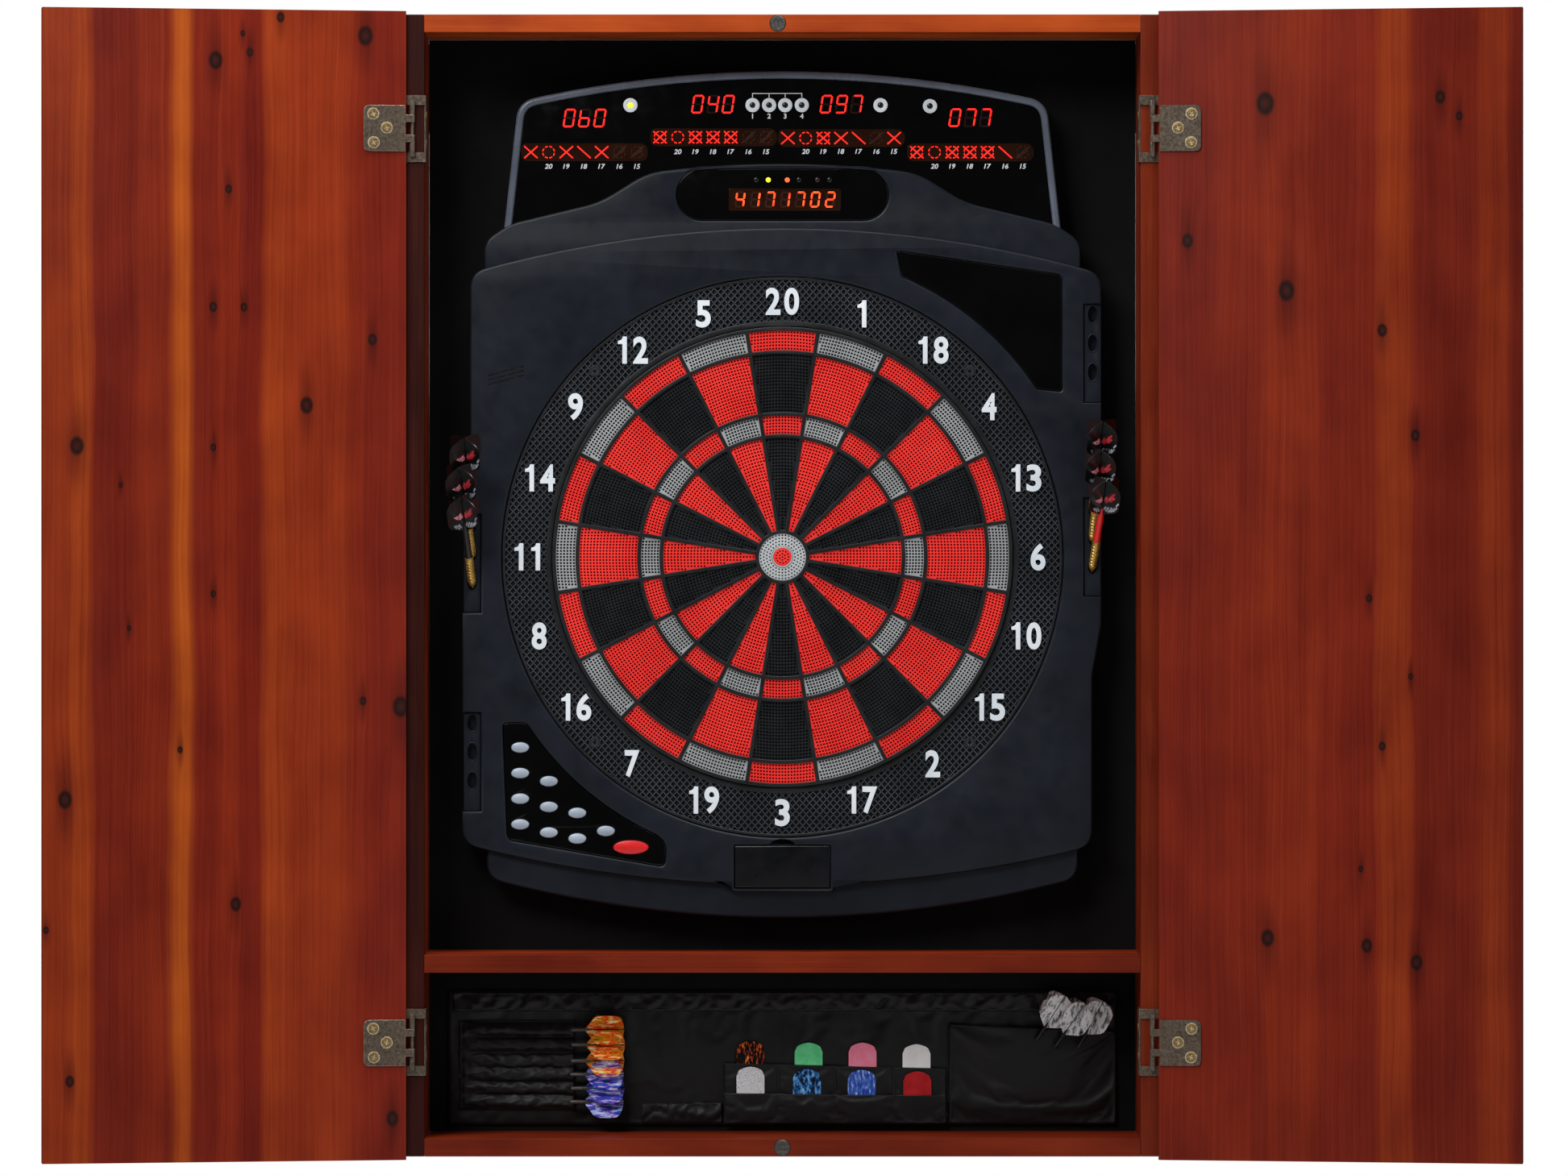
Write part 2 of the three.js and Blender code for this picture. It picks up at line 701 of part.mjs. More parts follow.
place(cabinet, "triple_segments", segmentRing(RADIUS.tripleIn + play, RADIUS.tripleOut - play), greyPlastic);
place(cabinet, "outer_single_segments", segmentRing(RADIUS.tripleOut + play, RADIUS.doubleIn - play), redPlastic);
place(cabinet, "double_segments", segmentRing(RADIUS.doubleIn + play, RADIUS.doubleOut - play), greyPlastic);
place(
  cabinet,
  "outer_bull_segment",
  tube(RADIUS.innerBull + 0.3, RADIUS.bull - play - 0.2, -51, FACE.segment - 0.3, TARGET_Z, 32),
  greyPlastic,
);
place(
  cabinet,
  "inner_bull_segment",
  disc(RADIUS.innerBull, -51, FACE.segment - 0.3, 0, TARGET_Z, 24),
  redPlastic,
);
place(cabinet, "sensor_mat", disc(RADIUS.doubleOut, -49, -50.4, 0, TARGET_Z, 48), blackPlastic);

// ---- Keypad and plates ----

const plateBack = FACE.body + INSET - 0.2;
const plateFront = FACE.body + 0.1;

function keypadPlate() {
  const holes = buttons.map((button) => buttonPrism(button, 0.5, plateBack + 1, plateFront - 1));
  return cut(prism(keypadOutline(), plateBack, plateFront), ...holes);
}
place(cabinet, "keypad_plate", keypadPlate(), blackGloss);
place(cabinet, "corner_plate", prism(cornerPlateOutline(), plateBack, plateFront), blackGloss);

// Each button is a cap through the plate, with a flange behind it that keeps the button in.
function pushButton(button) {
  const flangeFront = plateBack + GAP;
  const cap = buttonPrism(button, 0, flangeFront + 1, FACE.body - BUTTON.proud);
  const flange = buttonPrism(button, 1.5, flangeFront + 1.6, flangeFront);
  const stem = block(button.x - 2, button.x + 2, -45, flangeFront + 1, button.z - 2, button.z + 2);
  return join(cap, flange, stem);
}
for (const button of buttons) {
  const material = button.name === "start_button" ? redPlastic : greyPlastic;
  place(cabinet, button.name, pushButton(button), material);
}

// ---- Lid ----

// The lid turns on its lower edge, which is round about the hinge line.
function lid() {
  const r = LID.thick / 2;
  const middleY = FACE.body + r;
  const plate = block(-LID.half, LID.half, FACE.body, FACE.body + LID.thick, LID.bottom + r, LID.top);
  const roll = new THREE.CylinderGeometry(r, r, 2 * LID.half, 16).rotateZ(Math.PI / 2);
  return join(plate, solid(roll.translate(0, middleY, LID.bottom + r)));
}
place(cabinet, "compartment_lid", lid(), slatePlastic);

// ---- Dart holders ----

function dartHolder(holder) {
  const back = HOLDER.front + HOLDER.depth;
  let insert = holderBox(holder, 0, back, HOLDER.front);
  for (let i = 0; i < 3; i++) {
    const length = 90;
    const bore = new THREE.CylinderGeometry(HOLDER.hole, HOLDER.hole, length, 10);
    bore.rotateX(-HOLDER_LEAN);
    const z = holder.top - HOLDER.first - i * HOLDER.pitch;
    insert = cut(insert, solid(bore.translate(holder.side * HOLDER.x, HOLDER.front, z)));
  }
  return insert;
}
for (const holder of HOLDERS) {
  place(cabinet, holder.name, dartHolder(holder), slatePlastic);
}

// ---- Pouch ----

const pouchBack = BACK.front - GAP;
place(
  cabinet,
  "accessory_pouch",
  block(-POUCH.half, POUCH.half, pouchBack, pouchBack - POUCH.thick, POUCH.bottom, POUCH.top),
  nylon,
);

const group = new THREE.Group();
group.add(cabinet);
export default group;
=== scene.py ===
"""Looks of a wall cabinet with an electronic dartboard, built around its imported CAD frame.

Every shape is first worked out in millimetres from the cabinet's centre, with X to the right,
Z up and the front facing -Y, as in the CAD source. PLACE then takes it to the row frame.
"""

import json
import math
import random

import bmesh
import bpy
import numpy as np
from mathutils import Matrix, Vector, noise


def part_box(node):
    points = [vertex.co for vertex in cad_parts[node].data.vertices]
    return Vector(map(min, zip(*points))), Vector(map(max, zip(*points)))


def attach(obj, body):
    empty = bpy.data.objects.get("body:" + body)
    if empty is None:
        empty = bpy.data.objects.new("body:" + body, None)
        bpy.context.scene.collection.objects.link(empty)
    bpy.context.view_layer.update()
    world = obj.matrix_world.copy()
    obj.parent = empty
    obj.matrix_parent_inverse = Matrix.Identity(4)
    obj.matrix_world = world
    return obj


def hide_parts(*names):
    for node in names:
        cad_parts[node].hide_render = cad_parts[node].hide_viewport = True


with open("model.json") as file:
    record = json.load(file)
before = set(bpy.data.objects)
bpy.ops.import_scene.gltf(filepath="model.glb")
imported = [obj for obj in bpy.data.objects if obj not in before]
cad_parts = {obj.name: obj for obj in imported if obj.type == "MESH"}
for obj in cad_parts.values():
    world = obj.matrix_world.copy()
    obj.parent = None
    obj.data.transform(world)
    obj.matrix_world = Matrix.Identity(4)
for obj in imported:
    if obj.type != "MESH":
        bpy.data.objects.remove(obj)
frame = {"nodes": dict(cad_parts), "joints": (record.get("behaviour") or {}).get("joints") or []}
bpy.context.view_layer.update()
nodes = frame["nodes"]

MM = 0.001
panel_low, panel_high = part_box("left_side_panel")
MIDDLE_Z = (panel_low.z + panel_high.z) / 2
PLACE = Matrix.Translation((0, 0, MIDDLE_Z)) @ Matrix.Scale(MM, 4)
TO_MM = PLACE.inverted()


def extent(node):
    """A CAD node's box in millimetres from the cabinet's centre."""
    low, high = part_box(node)
    return TO_MM @ low, TO_MM @ high


def front_of(node):
    return extent(node)[0].y


def middle_of(node):
    low, high = extent(node)
    return (low + high) / 2


# --- Camera, room and lights ---

FRONT_Y = panel_low.y  # the cabinet's front edges, in metres
CAMERA_AHEAD = 6.0
VIEW_WIDTH = 1.334  # what the picture takes in at the front edges
SENSOR = 36
CAMERA_X, CAMERA_LOWER = 0.0014, 0.0017  # how far the camera stands from the cabinet's middle
ROOM_LIGHT, ROOM_REFLECTION = 0.15, 0.035  # strength of the room, and of what gloss sees of it

scene = bpy.context.scene
scene.view_settings.view_transform = "Standard"

camera_data = bpy.data.cameras.new("camera")
camera_data.sensor_width = SENSOR
camera_data.lens = SENSOR * CAMERA_AHEAD / VIEW_WIDTH
camera = bpy.data.objects.new("camera", camera_data)
camera.location = (CAMERA_X, FRONT_Y - CAMERA_AHEAD, MIDDLE_Z - CAMERA_LOWER)
camera.rotation_euler = (math.pi / 2, 0, 0)
scene.collection.objects.link(camera)
scene.camera = camera


def rgb(code):
    """A hex colour as linear RGBA."""
    parts = [int(code[i : i + 2], 16) / 255 for i in (1, 3, 5)]
    return [((c + 0.055) / 1.055) ** 2.4 if c > 0.04045 else c / 12.92 for c in parts] + [1.0]


def add_node(tree, kind, inputs=None, **settings):
    """A shader node with its inputs set to values or linked to sockets."""
    made = tree.nodes.new("ShaderNode" + kind)
    for key, value in settings.items():
        setattr(made, key, value)
    for key, value in (inputs or {}).items():
        if isinstance(value, bpy.types.NodeSocket):
            tree.links.new(value, made.inputs[key])
        else:
            made.inputs[key].default_value = value
    return made


def make_world():
    """White where the camera looks past the cabinet, and a soft dim room in its reflections."""
    world = bpy.data.worlds.new("studio")
    scene.world = world
    world.use_nodes = True
    tree = world.node_tree
    tree.nodes.clear()
    path = add_node(tree, "LightPath")

    def background(color, strength):
        return add_node(tree, "Background", {"Color": color, "Strength": strength}).outputs[0]

    def either(ray, otherwise, then):
        return add_node(tree, "MixShader", {0: path.outputs[ray], 1: otherwise, 2: then}).outputs[0]

    pale = rgb("#f2f4f8")
    unseen = either("Is Glossy Ray", background(pale, ROOM_LIGHT), background(pale, ROOM_REFLECTION))
    surface = either("Is Camera Ray", unseen, background((1, 1, 1, 1), 1.0))
    add_node(tree, "OutputWorld", {"Surface": surface})


def area_light(name, place, size, power):
    """A white rectangular light that looks at the middle of the cabinet's front."""
    data = bpy.data.lights.new(name, "AREA")
    data.shape = "RECTANGLE"
    data.size, data.size_y = size
    data.energy = power
    light = bpy.data.objects.new(name, data)
    light.location = place
    aim = Vector((0, FRONT_Y, MIDDLE_Z)) - Vector(place)
    light.rotation_euler = aim.to_track_quat("-Z", "Y").to_euler()
    scene.collection.objects.link(light)


LIGHTS = [
    # name, place from the cabinet's middle in metres, size, watts
    ("key_light", (-1.5, -2.4, 2.1), (1.6, 1.2), 84),
    ("top_light", (0.3, -0.7, 2.3), (2.4, 0.5), 62),
    ("fill_light", (2.4, -2.6, 0.4), (1.4, 2.0), 15),
    ("rear_light", (0.5, 3.0, 1.2), (2.5, 2.0), 40),
]


def make_lights():
    for name, (x, y, above), size, power in LIGHTS:
        area_light(name, (x, y, MIDDLE_Z + above), size, power)


def make_floor():
    """A plain pale floor, well below a cabinet that hangs on a wall."""
    bm = bmesh.new()
    bmesh.ops.create_grid(bm, x_segments=1, y_segments=1, size=4.0)
    mesh = bpy.data.meshes.new("floor")
    bm.to_mesh(mesh)
    floor = bpy.data.objects.new("floor", mesh)
    floor.location = (0, 0.4, MIDDLE_Z - 1.2)
    mat = bpy.data.materials.new("floor")
    mat.use_nodes = True
    bsdf = mat.node_tree.nodes["Principled BSDF"]
    bsdf.inputs["Base Color"].default_value = rgb("#e9e8e6")
    bsdf.inputs["Roughness"].default_value = 0.8
    mesh.materials.append(mat)
    scene.collection.objects.link(floor)


make_world()
make_lights()
make_floor()

# --- Materials ---


class Finish:
    """A material under construction. Its noise and ramps read the row frame in millimetres."""

    def __init__(self, name, **sockets):
        self.material = bpy.data.materials.new(name)
        self.material.use_nodes = True
        self.tree = self.material.node_tree
        self.bsdf = self.tree.nodes["Principled BSDF"]
        coordinates = self.add("TexCoord").outputs["Object"]
        self.point = self.add("VectorMath", {0: coordinates, "Scale": 1000.0}, operation="SCALE").outputs[0]
        for key, value in sockets.items():
            self.set(key.replace("_", " ").title().replace("Ior", "IOR"), value)

    def add(self, kind, inputs=None, **settings):
        return add_node(self.tree, kind, inputs, **settings)

    def set(self, socket, value):
        """Sets a socket of the shader itself, or links it."""
        if isinstance(value, bpy.types.NodeSocket):
            self.tree.links.new(value, self.bsdf.inputs[socket])
        else:
            self.bsdf.inputs[socket].default_value = value

    def math(self, operation, a, b=0.0, clamp=False):
        return self.add("Math", {0: a, 1: b}, operation=operation, use_clamp=clamp).outputs[0]

    def vector(self, operation, *sources):
        """A vector operation's result, which is a number for DOT_PRODUCT and LENGTH."""
        made = self.add("VectorMath", dict(enumerate(sources)), operation=operation)
        return made.outputs["Value" if operation in ("DOT_PRODUCT", "LENGTH") else "Vector"]

    def stretched(self, scale, point=None):
        """The point with each axis multiplied, for streaks and weaves."""
        return self.vector("MULTIPLY", self.point if point is None else point, scale)

    def weighted(self, *parts):
        """The sum of (source, weight) parts."""
        total = None
        for source, weight in parts:
            term = self.math("MULTIPLY", source, weight)
            total = term if total is None else self.math("ADD", total, term)
        return total

    def noise(self, size, detail=2.0, point=None, rough=0.5):
        """Noise whose blobs are about size millimetres across."""
        source = self.point if point is None else point
        sockets = {"Vector": source, "Scale": 1.0 / size, "Detail": detail, "Roughness": rough}
        return self.add("TexNoise", sockets).outputs["Fac"]

    def bands(self, point, scale, distortion, detail, direction, profile):
        """A wave across one axis, such as threads or year rings."""
        sockets = {"Vector": point, "Scale": scale, "Distortion": distortion, "Detail": detail}
        made = self.add("TexWave", sockets, wave_type="BANDS", bands_direction=direction, wave_profile=profile)
        return made.outputs["Fac"]

    def ramp(self, factor, stops):
        """The factor as a colour, from (position, hex colour) stops."""
        made = self.add("ValToRGB", {"Fac": factor})
        elements = made.color_ramp.elements
        while len(elements) < len(stops):
            elements.new(0.5)
        for element, (position, color) in zip(elements, stops):
            element.position = position
            element.color = rgb(color)
        return made.outputs["Color"]

    def mix(self, factor, a, b, blend="MIX"):
        made = self.add("Mix", {0: factor, 6: a, 7: b}, data_type="RGBA", blend_type=blend)
        return made.outputs[2]

    def spread(self, factor, low, high, bottom=0.3, top=0.7, **settings):
        """The factor's range from bottom to top made to run from low to high."""
        sockets = {"Value": factor, "From Min": bottom, "From Max": top, "To Min": low, "To Max": high}
        return self.add("MapRange", sockets, **settings).outputs[0]

    def faded(self, factor, start, end, high):
        """From high down to nothing as the factor goes from start to end."""
        return self.spread(factor, high, 0.0, start, end, interpolation_type="SMOOTHSTEP")

    def tinged(self, color, tint):
        """The colour multiplied by another."""
        return self.mix(1.0, color, tint, "MULTIPLY")

    def bump(self, height, distance, strength=1.0):
        made = self.add("Bump", {"Height": height, "Distance": distance * MM, "Strength": strength})
        self.tree.links.new(made.outputs[0], self.bsdf.inputs["Normal"])


def moulded_plastic(name, dark, light, roughness, grain=0.35, depth=0.03, specular=0.4):
    """Moulded plastic: a faint mottle, a fine spark-eroded grain and uneven gloss."""
    made = Finish(name, specular_ior_level=specular)
    mottle = made.noise(38.0, 3.0)
    fine = made.noise(grain, 2.0)
    tone = made.spread(made.weighted((mottle, 0.75), (fine, 0.25)), 0, 1)
    made.set("Base Color", made.mix(tone, rgb(dark), rgb(light)))
    made.set("Roughness", made.spread(made.noise(14.0, 3.0), roughness - 0.06, roughness + 0.06))
    made.bump(fine, depth)
    return made.material


def metal(name, dark, light, roughness, grain=2.2, metallic=1.0):
    """Plated or cast metal with cloudy tarnish and fine scratches."""
    made = Finish(name, metallic=metallic)
    cloud = made.noise(grain, 4.0, rough=0.65)
    scratch = made.noise(0.5, 3.0, made.stretched((0.08, 1.0, 1.0)))
    made.set("Base Color", made.mix(made.spread(cloud, 0, 1), rgb(dark), rgb(light)))
    made.set("Roughness", made.spread(cloud, roughness - 0.08, roughness + 0.12))
    made.bump(scratch, 0.03)
    return made.material


def lamp(name, core, edge, strength):
    """A lit segment, slightly uneven between its core and edge colours, as light behind a lens."""
    made = Finish(name, roughness=0.4, base_color=rgb(edge), emission_strength=strength)
    made.set("Emission Color", made.mix(made.spread(made.noise(3.5, 1.0), 0, 1), rgb(core), rgb(edge)))
    return made.material


# Staves of each door as (share of the width from the hinge, tone), and its knots as
# (distance from the hinge pin, height, radius) in millimetres.
LEFT_DOOR = {
    "staves": [
        (0.0, "#842716"), (0.13, "#8c2e17"), (0.17, "#97391a"), (0.34, "#a3441d"), (0.405, "#7d2315"),
        (0.47, "#8c2e17"), (0.53, "#802615"), (0.60, "#b45a20"), (0.65, "#882e17"), (0.75, "#7c2515"),
        (0.867, "#a0451a"), (0.92, "#923818"),
    ],
    "knots": [
        (40, 467, 7.5), (167, 445, 7.0), (112, 482, 4.0), (138, 452, 3.5), (144, 468, 2.5),
        (156, 336, 3.5), (169, 236, 4.0), (143, 236, 3.5), (34, 209, 4.5), (90, 153, 6.5),
        (284, 118, 7.0), (169, 117, 3.0), (247, 85, 2.2), (169, -7, 2.8), (240, -36, 2.2),
        (42, -98, 3.5), (10, -103, 8.0), (197, -139, 2.8), (294, -181, 7.0), (150, -270, 5.5),
        (310, -291, 3.0), (290, -419, 4.5), (17, -453, 6.0),
    ],
}
RIGHT_DOOR = {
    "staves": [
        (0.0, "#7e2616"), (0.16, "#842a17"), (0.30, "#8c3018"), (0.45, "#822817"), (0.61, "#963c1b"),
        (0.70, "#7a2515"), (0.88, "#8e3619"), (0.965, "#702013"),
    ],
    "knots": [
        (96, 409, 9.0), (244, 413, 5.0), (260, 397, 3.5), (30, 293, 5.5), (114, 250, 8.0),
        (195, 216, 5.0), (223, 127, 4.5), (184, -11, 3.2), (219, -77, 2.6), (195, -136, 3.5),
        (177, -240, 2.6), (98, -299, 6.5), (182, -305, 5.5), (224, -319, 6.0),
    ],
}


def soft_stops(staves, soft=0.012):
    """Ramp stops for bands of colour with slightly soft edges."""
    stops = [staves[0]]
    for (_, before), (share, after) in zip(staves, staves[1:]):
        stops += [(share - soft, before), (share + soft, after)]
    return stops


def stained_pine(name, origin, across, along, width, staves, knots):
    """Stained pine glued up from staves, under a satin lacquer.

    across and along are directions on the board in the row frame, and origin is the point where
    both are zero. Grain lines run along, drift a little and lean towards each knot.
    """
    made = Finish(name, specular_ior_level=0.16, coat_weight=0.05, coat_roughness=0.2)
    across, along = Vector(across).normalized(), Vector(along).normalized()
    through = across.cross(along)
    local = made.vector("SUBTRACT", made.point, Vector(origin) * 1000)
    parts = [made.vector("DOT_PRODUCT", local, direction) for direction in (across, along, through)]
    board = made.add("CombineXYZ", dict(enumerate(parts))).outputs[0]
    core, halo = None, None
    for s, z, radius in knots:
        offset = made.vector("SUBTRACT", board, (s, z, 0))
        near = made.vector("LENGTH", made.stretched((1 / radius, 0.75 / radius, 0), offset))
        far = made.vector("LENGTH", made.stretched((0.55 / radius, 0.13 / radius, 0), offset))
        core = near if core is None else made.math("MINIMUM", core, near)
        halo = far if halo is None else made.math("MINIMUM", halo, far)

    drift = made.noise(60.0, 2.0, made.stretched((1.0, 0.25, 1.0), board))
    lean = made.math("ADD", made.spread(drift, -2.5, 2.5), made.faded(halo, 0, 1.4, 2.5))
    bent = made.vector("ADD", board, made.add("CombineXYZ", {0: lean}).outputs[0])
    fine = made.noise(1.3, 4.0, made.stretched((1.0, 0.006, 1.0), bent), rough=0.6)
    wide = made.noise(12.0, 3.0, made.stretched((1.0, 0.02, 1.0), bent))
    rings = made.bands(made.stretched((0.055, 0.0012, 0.03), bent), 1.0, 3.0, 2.0, "X", "SAW")

    share = made.math("DIVIDE", made.add("SeparateXYZ", {0: bent}).outputs[0], width, clamp=True)
    color = made.ramp(share, soft_stops(staves))
    dark, light = made.tinged(color, [0.50, 0.30, 0.18, 1]), made.tinged(color, [0.84, 0.70, 0.40, 1])
    blotch = made.noise(55.0, 3.0, made.stretched((1.0, 0.55, 1.0), board))
    tone = made.weighted((fine, 0.22), (wide, 0.26), (blotch, 0.52))
    color = made.mix(made.spread(tone, 0, 1, 0.37, 0.63), dark, light)
    color = made.mix(made.spread(rings, 0.0, 0.16, 0.2, 1.0), color, made.tinged(color, rgb("#a07a70")))
    color = made.mix(made.faded(halo, 0.0, 1.0, 0.62), color, made.tinged(color, rgb("#8c5a48")))
    bark = made.mix(made.spread(core, 0, 1, 0.1, 0.6), rgb("#34120b"), rgb("#160604"))
    color = made.mix(made.faded(core, 0.6, 1.05, 0.95), color, bark)
    made.set("Base Color", color)
    made.set("Roughness", made.spread(fine, 0.36, 0.5))
    made.bump(fine, 0.05, 0.6)
    return made.material


def woven_nylon(name, dark, light):
    """Plain-weave nylon: crossing threads, a slight shimmer and soft creases, with painted shade between the
    threads and in the creases.
    """
    made = Finish(name, roughness=0.42, specular_ior_level=0.3, sheen_weight=0.12, sheen_roughness=0.4)
    threads = [made.bands(made.point, 0.42, 0.3, 1.0, direction, "SIN") for direction in ("X", "Z")]
    weave = made.math("MULTIPLY", *threads)
    crease = made.noise(34.0, 3.0, made.stretched((1.0, 1.0, 0.55)))
    # The colour follows the threads and creases that also make the bump: painted shade in their hollows.
    tone = made.weighted((weave, 0.4), (crease, 0.6))
    made.set("Base Color", made.mix(made.spread(tone, 0, 1, 0.2, 0.8), rgb(dark), rgb(light)))
    made.bump(made.math("ADD", made.math("MULTIPLY", weave, 0.1), crease), 1.0, 0.7)
    return made.material


def printed_film(name, stops, size=3.0, stretch=(1, 1, 1), roughness=0.25):
    """Flight film: a generic print of blended patches, under gloss."""
    made = Finish(name, roughness=roughness, coat_weight=0.5, coat_roughness=0.1)
    patches = made.noise(size, 3.0, made.stretched(stretch), rough=0.6)
    made.set("Base Color", made.ramp(made.spread(patches, 0, 1), stops))
    made.bump(made.noise(5.0, 1.0), 0.1)
    return made.material


slate = moulded_plastic("slate_plastic", "#0e1219", "#161b24", 0.42, specular=0.22)
slate_lid = moulded_plastic("slate_lid", "#07080b", "#0c0d11", 0.3, specular=0.3)
# A lighter copy of the slate plastic for the crown's rim: painted highlight on the rim's roll, the same plastic
# as the rest.
slate_rim_painted_highlight = moulded_plastic("slate_rim_painted_highlight", "#454b57", "#5c6370", 0.3)
black_gloss = moulded_plastic("black_gloss", "#030303", "#060607", 0.1, depth=0.002)
black_plastic = moulded_plastic("black_plastic", "#0c0d0f", "#16181b", 0.42)
mesh_plastic = moulded_plastic("mesh_plastic", "#2b3036", "#474c55", 0.36)
segment_black = moulded_plastic("segment_black", "#131416", "#1d1f22", 0.34, specular=0.3)
segment_red = moulded_plastic("segment_red", "#d8221e", "#f0342d", 0.4)
segment_grey = moulded_plastic("segment_grey", "#8c8f90", "#a4a7a8", 0.36)
# Near-black for the walls and floors of tip holes, the catch ring's floor and the screw wells with their screws:
# painted shade where they run deep, not a plastic of its own.
hole_painted_shade = moulded_plastic("hole_painted_shade", "#040405", "#08090a", 0.7)
# A dark copy of the red plastic for the walls and floors of holes in red segments and the bull's eye: painted
# shade in the holes.
red_hole_painted_shade = moulded_plastic("red_hole_painted_shade", "#7a0c10", "#9c1418", 0.6, specular=0.2)
bull_grey = moulded_plastic("bull_grey", "#9a9ea0", "#bcc0c2", 0.36)
number_plastic = moulded_plastic("number_plastic", "#c2cad2", "#e0e5ea", 0.4)
button_grey = moulded_plastic("button_grey", "#8793a0", "#9fabb8", 0.36)
button_red = moulded_plastic("button_red", "#c2161c", "#dc2427", 0.34)
black_board = moulded_plastic("black_board", "#040404", "#080808", 0.7, grain=1.5, depth=0.06, specular=0.12)
circuit_green = moulded_plastic("circuit_board", "#12401f", "#1d5a2c", 0.35)
nickel = metal("antique_nickel", "#40362d", "#6c5e50", 0.36, metallic=0.4)
nickel_edge = metal("antique_nickel_edge", "#a89c8c", "#d8ccba", 0.26, metallic=0.4)
magnet_steel = metal("magnet_steel", "#3a3836", "#5e5a56", 0.42, metallic=0.5)
zinc = metal("zinc_plate", "#9a9da1", "#c3c6ca", 0.32)
brass = metal("brass", "#8c6a28", "#c8a24e", 0.26, grain=4.0, metallic=0.6)
screw_brass = metal("screw_brass", "#6a5227", "#a08448", 0.34, grain=1.4, metallic=0.5)
gloss_print = moulded_plastic("white_print", "#b9bfc6", "#dde1e6", 0.5, depth=0.003)
lamp_off = moulded_plastic("lamp_off", "#2a1106", "#371808", 0.3)
lamp_dark = moulded_plastic("lamp_dark", "#071009", "#0d1a10", 0.2)
lamp_faint = moulded_plastic("lamp_faint", "#1c0806", "#260b08", 0.25)
lamp_window = moulded_plastic("lamp_window", "#1c0c05", "#291308", 0.16, depth=0.004)
lamp_red = lamp("lamp_red", "#ff2a1c", "#f01410", 1.35)
lamp_orange = lamp("lamp_orange", "#ff6a2a", "#f8280c", 1.5)
lamp_yellow = lamp("lamp_yellow", "#f4ff3c", "#e6e81e", 1.3)
nylon = woven_nylon("black_nylon", "#08080a", "#141417")
thread = moulded_plastic("thread", "#17171a", "#242428", 0.6)
shaft_red = moulded_plastic("shaft_red", "#c01014", "#dc1c1c", 0.3)

# --- Building blocks, all in millimetres from the cabinet's centre ---


UPRIGHT = Matrix.Rotation(math.pi / 2, 4, "X")  # turns what was made about Z to face the front


def facing_front(mesh, x, y, z):
    """Stands up something made about Z, with its origin at (x, y, z)."""
    mesh.transform(Matrix.Translation((x, y, z)) @ UPRIGHT)
    return mesh


def mesh_of_curve(curve):
    """The mesh of a curve, which is then removed."""
    holder = bpy.data.objects.new("curve", curve)
    mesh = bpy.data.meshes.new_from_object(holder)
    bpy.data.objects.remove(holder)
    bpy.data.curves.remove(curve)
    return mesh


def edited(mesh, edit):
    """The mesh after an edit of its bmesh."""
    bm = bmesh.new()
    bm.from_mesh(mesh)
    edit(bm)
    bm.to_mesh(mesh)
    bm.free()
    return mesh


def slab(outlines, back, front, bevel=0.6, steps=2):
    """A flat plate through closed outlines of (x, z), the first its rim and the others holes."""
    curve = bpy.data.curves.new("slab", "CURVE")
    curve.dimensions = "2D"
    curve.fill_mode = "BOTH"
    curve.extrude = (back - front) / 2 - bevel
    curve.bevel_depth = bevel
    curve.bevel_resolution = steps
    curve.offset = -bevel
    for points in outlines:
        spline = curve.splines.new("POLY")
        spline.points.add(len(points) - 1)
        spline.points.foreach_set("co", [value for x, z in points for value in (x, z, 0, 1)])
        spline.use_cyclic_u = True
    return cleaned(facing_front(mesh_of_curve(curve), 0, (back + front) / 2, 0))


def cleaned(mesh, distance=1e-3):
    """Welds the points that lie together."""
    return edited(mesh, lambda bm: bmesh.ops.remove_doubles(bm, verts=bm.verts, dist=distance))


def mesh_of(points, faces):
    mesh = bpy.data.meshes.new("made")
    mesh.from_pydata([tuple(p) for p in points], [], faces)
    return edited(mesh, lambda bm: bmesh.ops.recalc_face_normals(bm, faces=bm.faces))


def joined(*meshes):
    """Several meshes as one, keeping each one's material places."""
    bm = bmesh.new()
    for mesh in meshes:
        bm.from_mesh(mesh)
        bpy.data.meshes.remove(mesh)
    result = bpy.data.meshes.new("joined")
    bm.to_mesh(result)
    bm.free()
    return result


def tinted(mesh, index):
    """The mesh with every face on one of its piece's materials."""
    mesh.polygons.foreach_set("material_index", [index] * len(mesh.polygons))
    return mesh


def cut(mesh, cutter):
    """The mesh with another taken out of it."""
    edited(mesh, lambda bm: bmesh.ops.triangulate(bm, faces=bm.faces))
    holders = [bpy.data.objects.new("cut", part) for part in (mesh, cutter)]
    for holder in holders:
        scene.collection.objects.link(holder)
    taking = holders[0].modifiers.new("cut", "BOOLEAN")
    taking.object = holders[1]
    taking.solver = "EXACT"
    result = bpy.data.meshes.new_from_object(holders[0].evaluated_get(bpy.context.evaluated_depsgraph_get()))
    for holder in holders:
        bpy.data.objects.remove(holder)
    return result


def box_mesh(low, high):
    points = [(x, y, z) for x in (low[0], high[0]) for y in (low[1], high[1]) for z in (low[2], high[2])]
    faces = [(0, 1, 3, 2), (4, 6, 7, 5), (0, 4, 5, 1), (2, 3, 7, 6), (0, 2, 6, 4), (1, 5, 7, 3)]
    return mesh_of(points, faces)


def prism(loops):
    """A solid between two loops with the same count of points."""
    count = len(loops[0])
    faces = [(i, (i + 1) % count, count + (i + 1) % count, count + i) for i in range(count)]
    return mesh_of([*loops[0], *loops[1]], [*faces, tuple(range(count)), tuple(range(count, 2 * count))])


